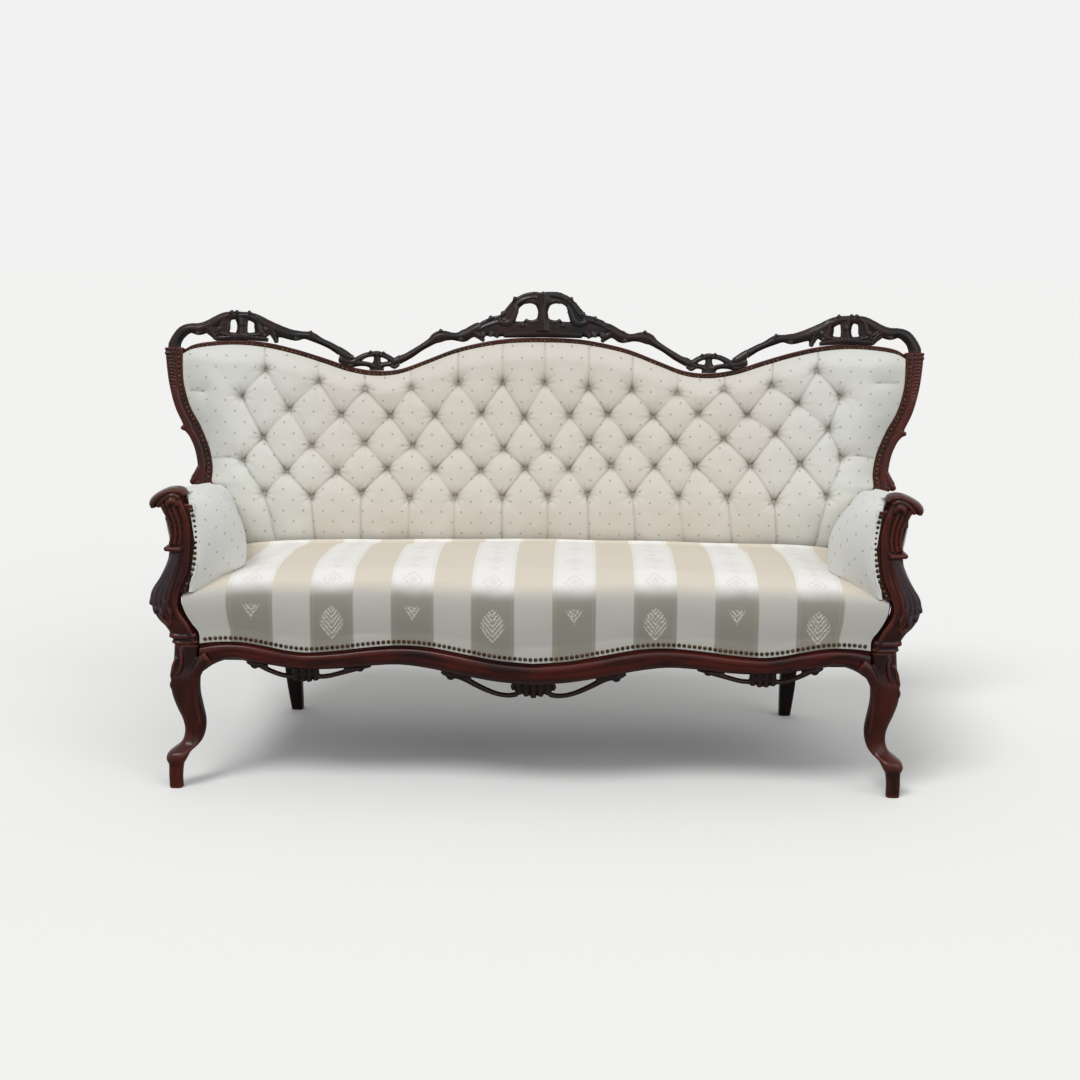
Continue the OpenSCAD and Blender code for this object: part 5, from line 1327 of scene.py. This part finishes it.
bm = bmesh.new()
shadow = bm.verts.layers.float.new("crease")
rolled(bm, across_count, up_count, padding, flat_cloth, False, shadow)
rim = [e for e in bm.edges if e.is_boundary]
grown = bmesh.ops.extrude_edge_only(bm, edges=rim)["geom"]
toward_back = Vector(toward_front) * -1
plane = Vector(on_back(0.0, pad_set, 0.0))
for vert in [g for g in grown if isinstance(g, bmesh.types.BMVert)]:
    vert.co -= toward_back * (vert.co - plane).dot(toward_back)
    vert[shadow] = 0.6
back_pad = made_piece("back_padding_buttoned", closed_mesh("back_padding_buttoned", bm, 75), back_cloth,
                      ["back_pad"])


def button(u, v):
    """A covered button, facing the front."""
    swell = v * math.pi * 0.62
    radius, height = 0.0080 * np.sin(swell), 0.0055 * np.cos(swell)
    return np.stack([radius * np.cos(u * 2 * np.pi), -height, radius * np.sin(u * 2 * np.pi)], 1)


# Each button is drawn into the bottom of its dimple
bm = bmesh.new()
facing = Matrix.Rotation(-back_lean, 3, "X")
for bx, bv in every_button:
    verts = rolled(bm, 14, 6, button)
    bmesh.ops.rotate(bm, verts=verts, matrix=facing)
    edge = pad_edge(np.array([bv]))[0]
    depth = pad_set - pad_thick * rounding(edge - abs(bx), 0.100, 1.85) + 0.0285
    bmesh.ops.translate(bm, vec=on_back(bx, depth, bv), verts=verts)
# The buttons' cloth is a greyer copy of the back's dotted cloth, painted as the shade of the dimples they sit
# in, with the same painted warmer middle and greener sides
button_cloth = dotted("button_cloth", rgb("aaa49a"), rgb("adada6"), rgb("8d877d"))
made_piece("back_buttons_covered", closed_mesh("back_buttons_covered", bm, 80), button_cloth,
           ["back_buttons"])


# Crest
# Five carved and pierced pieces of near-black rosewood on top of the back: a crown of two
# scrolls in the middle, an oval over each shoulder, and a small arch over each dip.
ebonised = varnished("ebonised", rgb("0c0a0b"), rgb("2a1210"), rgb("3a3335"), "Object", (2, 2, 2))


def both_limbs(bm, points, both, **shape):
    """A carved stem, and its mirror image where the carving is symmetrical."""
    for sign in (1, -1) if both else (1,):
        back_limb(bm, [(sign * x, v, w) for x, v, w in points], **shape)


def leaf(bm, x, v, turn, length, width, both):
    """A blunt leaf from a place, in millimetres, turned by degrees from the upright and curled."""
    along = np.array([math.sin(math.radians(turn)), math.cos(math.radians(turn))])
    curl = math.radians(turn + (30 if turn > 0 else -30))
    tip = along * 0.5 + np.array([math.sin(curl), math.cos(curl)]) * 0.3
    both_limbs(bm, [(x + length * p[0], v + length * p[1], width * w) for p, w in (
        (along * 0, 1.1), (along * 0.3, 1.3), (along * 0.55, 1.1), (tip, 0.6))], both, t=0.001, thick=0.013)


def bead(bm, x, v, radius, both):
    """A small ball at a place, in millimetres."""
    for sign in (1, -1) if both else (1,):
        place = Matrix.Translation(on_back(sign * x / 1000, -0.001, v / 1000))
        bmesh.ops.create_icosphere(bm, subdivisions=2, radius=radius / 1000, matrix=place)


def above_rail(bm, from_x, to_x):
    """Keeps a carving above the top rail, behind its own front face and between its neighbours."""
    for vert in bm.verts:
        y, z = vert.co.y - waist_y, vert.co.z - waist_z
        v = z * math.cos(back_lean) + y * math.sin(back_lean)
        t = y * math.cos(back_lean) - z * math.sin(back_lean)
        x = min(max(vert.co.x, from_x), to_x)
        floor_v = 0.3556 if abs(x) > 0.9212 else float(top_height(x)) + 0.0004
        vert.co = on_back(x, min(max(t, -0.0078), 0.0198), min(max(v, floor_v), 0.5076))


bm = bmesh.new()
# Outer and inner scroll, body under the openings, base, stem and cup of the crown
both_limbs(bm, [
    (165, 409, 24), (148, 419, 28), (124, 428, 30), (102, 434, 30), (87, 451, 29), (74, 470, 25),
    (58, 484, 24), (40, 491, 26), (20, 493.5, 27), (6, 491, 26)], True, reeds=5, depth=0.2)
both_limbs(bm, [(112, 430, 14), (96, 424, 18), (82, 430, 20), (74, 446, 18), (69, 460, 14),
                (63, 468, 9)], True, t=0.001)
both_limbs(bm, [(168, 412, 18), (146, 406, 24), (118, 408, 30), (88, 411.5, 34), (56, 412, 34),
                (28, 413, 34), (0, 414, 34)], True, reeds=6, depth=0.2)
both_limbs(bm, [(100, 395.5, 15), (60, 397.5, 18), (30, 399, 20), (0, 400, 21)], True)
both_limbs(bm, [(90, 402, 16), (104, 403, 20), (116, 396, 15), (119.5, 388, 9)], True)
both_limbs(bm, [(0, 405, 46), (0, 424, 38), (0, 440, 28), (0, 454, 24), (0, 466, 30), (0, 478, 42),
                (0, 490, 46), (0, 502, 32)], False, t=0.003, thick=0.022, reeds=4, depth=0.12)
both_limbs(bm, [(14, 476, 12), (26, 482, 13), (38, 482, 11), (44, 478, 8)], True)
both_limbs(bm, [(14, 432, 12), (28, 427, 14), (40, 430, 12), (44, 436, 8)], True)
for x, v, turn, length, width in (
        (133, 434, 35, 10, 14), (101, 445, 45, 11, 14), (72, 484, 45, 8, 14), (74, 452, -80, 14, 11),
        (150, 398, 140, 14, 13), (130, 400, 160, 13, 12)):
    leaf(bm, x, v, turn, length, width, True)
bead(bm, 0, 498.5, 8.5, False)
bead(bm, 52, 420, 7, True)
# Branches down to the dips, with knots on the way, and a stay to the rail
both_limbs(bm, [
    (160, 413, 30), (174, 408, 29), (190, 399, 28), (204, 392, 30), (218, 390, 22), (232, 391, 19),
    (250, 392, 25), (264, 390, 29), (276, 385, 26), (288, 376, 19), (312, 361, 16), (338, 344, 18),
    (352, 336, 18), (366, 330, 21), (376, 326, 21)], True, reeds=4, depth=0.10)
both_limbs(bm, [(182, 404, 20), (168, 396, 19), (157, 387, 14), (151, 379, 9)], True)
leaf(bm, 262, 400, 30, 8, 13, True)
leaf(bm, 208, 384, 160, 8, 13, True)
above_rail(bm, -0.3664, 0.3664)
made_piece("crest_centre_carved", carved("crest_centre_carved", bm, 0.0017, 1), ebonised,
           ["crest_centre"])

bm = bmesh.new()
# Corner branch, oval, its stays, and the branch down to the dip
both_limbs(bm, [(949.5, 352, 36), (947, 366, 31), (938, 385, 28), (924, 400, 28), (906, 407, 24),
                (886, 405, 30), (870, 409, 29), (854, 416, 29), (838, 426, 27), (818, 436, 25),
                (796, 440.5, 20), (774, 440, 20), (752, 438, 21), (732, 429, 25), (710, 416, 28),
                (688, 405, 30), (664, 397, 27), (642, 391, 26), (630, 390, 25), (614, 391, 19),
                (598, 389, 22), (586, 384, 21), (568, 375, 17), (548, 366, 17), (534, 358, 18),
                (524, 352.5, 20), (514, 346, 21)], False, reeds=4, depth=0.10)
for points in (
        [(866, 406, 20), (852, 396, 20), (844, 386, 15), (841, 378, 10)],
        [(862, 412, 18), (846, 400, 22), (826, 391, 22), (800, 387, 19), (773, 387, 19), (746, 387, 19),
         (722, 392, 22), (704, 403, 20)],
        [(842, 380, 10), (806, 382.5, 13), (773, 383, 14), (740, 382, 13), (706, 378, 10)],
        [(773, 384, 40), (773, 398, 29), (772.5, 411, 26), (773, 426, 30), (774, 440, 40)],
        [(836, 388, 24), (826.5, 397, 34), (821.5, 410, 36), (817.5, 426, 30), (808, 440, 20)],
        [(710, 388, 24), (718.5, 397, 33), (723.5, 408, 34), (728, 424, 30), (738, 436, 20)],
        [(704, 408, 24), (694, 396, 20), (687, 382, 15), (684.5, 371, 10)]):
    both_limbs(bm, points, False, reeds=5, depth=0.16)
for x, v, turn, length, width in (
        (802, 445, 5, 8, 14), (752, 444, -10, 8, 14), (836, 402, -60, 12, 12), (708, 402, 60, 12, 12),
        (630, 383, 170, 6, 14), (594, 394, -35, 6, 14), (884, 396, 175, 6, 14)):
    leaf(bm, x, v, turn, length, width, False)
bead(bm, 773, 418, 6.5, False)
bead(bm, 786, 449, 5.5, False)
above_rail(bm, 0.5238, 0.9645)
pair("crest_shoulder_%s_carved", carved("crest_shoulder_right_carved", bm, 0.0016, 1), ebonised,
     "crest_shoulder_")

bm = bmesh.new()
# A low arch with a stem in the middle, two round holes, and a slot on each side
for points in (
        [(536, 359, 19), (524, 352.5, 20), (512, 344.5, 22), (501, 337, 22), (491, 334, 18),
         (484, 336.5, 12)],
        [(523.2, 331, 18), (511, 327, 22), (498, 323.5, 21), (484, 323.5, 17), (470, 332, 16),
         (453, 340.5, 14), (436, 343.5, 14), (424, 344, 16), (410, 341, 14), (396, 335, 15),
         (385, 327, 17), (376, 326, 19), (367.2, 330, 21), (357, 335, 19)],
        [(424, 302, 40), (424, 314, 32), (424, 326, 20), (424, 336, 18), (424, 345, 20)],
        [(430, 309, 18), (443, 316, 14), (457, 319, 13), (474, 319.5, 15), (490, 318, 18)],
        [(418, 309, 18), (410, 315.5, 14), (400, 318, 13), (390, 319, 15), (378, 323, 17)],
        [(486, 314, 15), (496, 311, 12), (506, 314, 10), (518, 321, 8)],
        [(386, 315, 14), (380, 311, 11), (373, 314, 9), (367.2, 319, 8)]):
    both_limbs(bm, points, False, thick=0.018, reeds=3, depth=0.07)
leaf(bm, 442, 346, 10, 6, 10, False)
leaf(bm, 406, 344, -12, 6, 10, False)
bead(bm, 424, 344, 6.8, False)
above_rail(bm, 0.3667, 0.5235)
pair("crest_valley_%s_carved", carved("crest_valley_right_carved", bm, 0.0014, 1), ebonised,
     "crest_valley_")


# Nails
# Close-set domed nails of antique bronze hold the edges of the covers: along the front rail,
# up both stiles and under the crest, and down each arm front.
bronze = metal("bronze", rgb("5d4a33"), rgb("2c2118"), 0.34)


def spaced(line, pitch):
    """Places evenly spaced along a line, about a pitch apart."""
    run = np.concatenate([[0], np.linalg.norm(np.diff(line, axis=0), axis=1).cumsum()])
    at = np.linspace(0, run[-1], int(run[-1] / pitch) + 1)
    return np.stack([np.interp(at, run, line[:, k]) for k in range(line.shape[1])], 1)


def dome(u, v):
    """Head of a nail, standing up along Z."""
    turn, swell = u * 2 * np.pi, v * np.pi / 2
    out = np.cos(swell)
    return np.stack([out * np.cos(turn), out * np.sin(turn), np.sin(swell) * 0.68], 1) * 0.0045


def nails(name, places, node):
    """Nail heads at places, each with the direction that it faces."""
    bm = bmesh.new()
    for place, facing in places:
        verts = rolled(bm, 9, 3, dome)
        bmesh.ops.rotate(bm, verts=verts, matrix=Vector(facing).to_track_quat("Z", "Y").to_matrix())
        bmesh.ops.translate(bm, vec=place, verts=verts)
    made_piece(name, closed_mesh(name, bm, 80), bronze, [node])


def rail_slope(x):
    """How far the rail's front lies back for each metre to the right."""
    return (np.interp(x + 0.01, rail_x, rail_y) - np.interp(x - 0.01, rail_x, rail_y)) / 0.02


nail_pitch = 0.0115
edge_line = np.stack([rail_x, rail_y + 0.0047, nail_z], 1)[np.abs(rail_x) < 0.7368]
nails("seat_nails_domed", [(p, (rail_slope(p[0]), -1, 0)) for p in spaced(edge_line, nail_pitch)],
      "seat_nails")
stile_run = np.array([(stile_inner(v) + 0.01056, v) for v in np.linspace(0.0224, 0.3402, 21)])
under_crest = np.array([(x, v - 0.01025) for x, v in top_line if abs(x) < 0.9105])
beside_stiles = [(on_back(x * sign, -0.0123, v), toward_front)
                 for x, v in spaced(stile_run, nail_pitch) for sign in (1, -1)]
nails("back_nails_domed", beside_stiles + [
    (on_back(x, 0.0008, v), toward_front) for x, v in spaced(under_crest, nail_pitch)], "back_nails")
arm_run = [(*(flange(z) + np.array([0.005, -0.0017])), z) for z in np.linspace(0.4571, 0.6344, 13)]
for sign, side in ((1, "right"), (-1, "left")):
    nails("arm_nails_%s_domed" % side,
          [(p * (sign, 1, 1), (0, -1, 0)) for p in spaced(np.array(arm_run), nail_pitch)],
          "arm_nails_" + side)
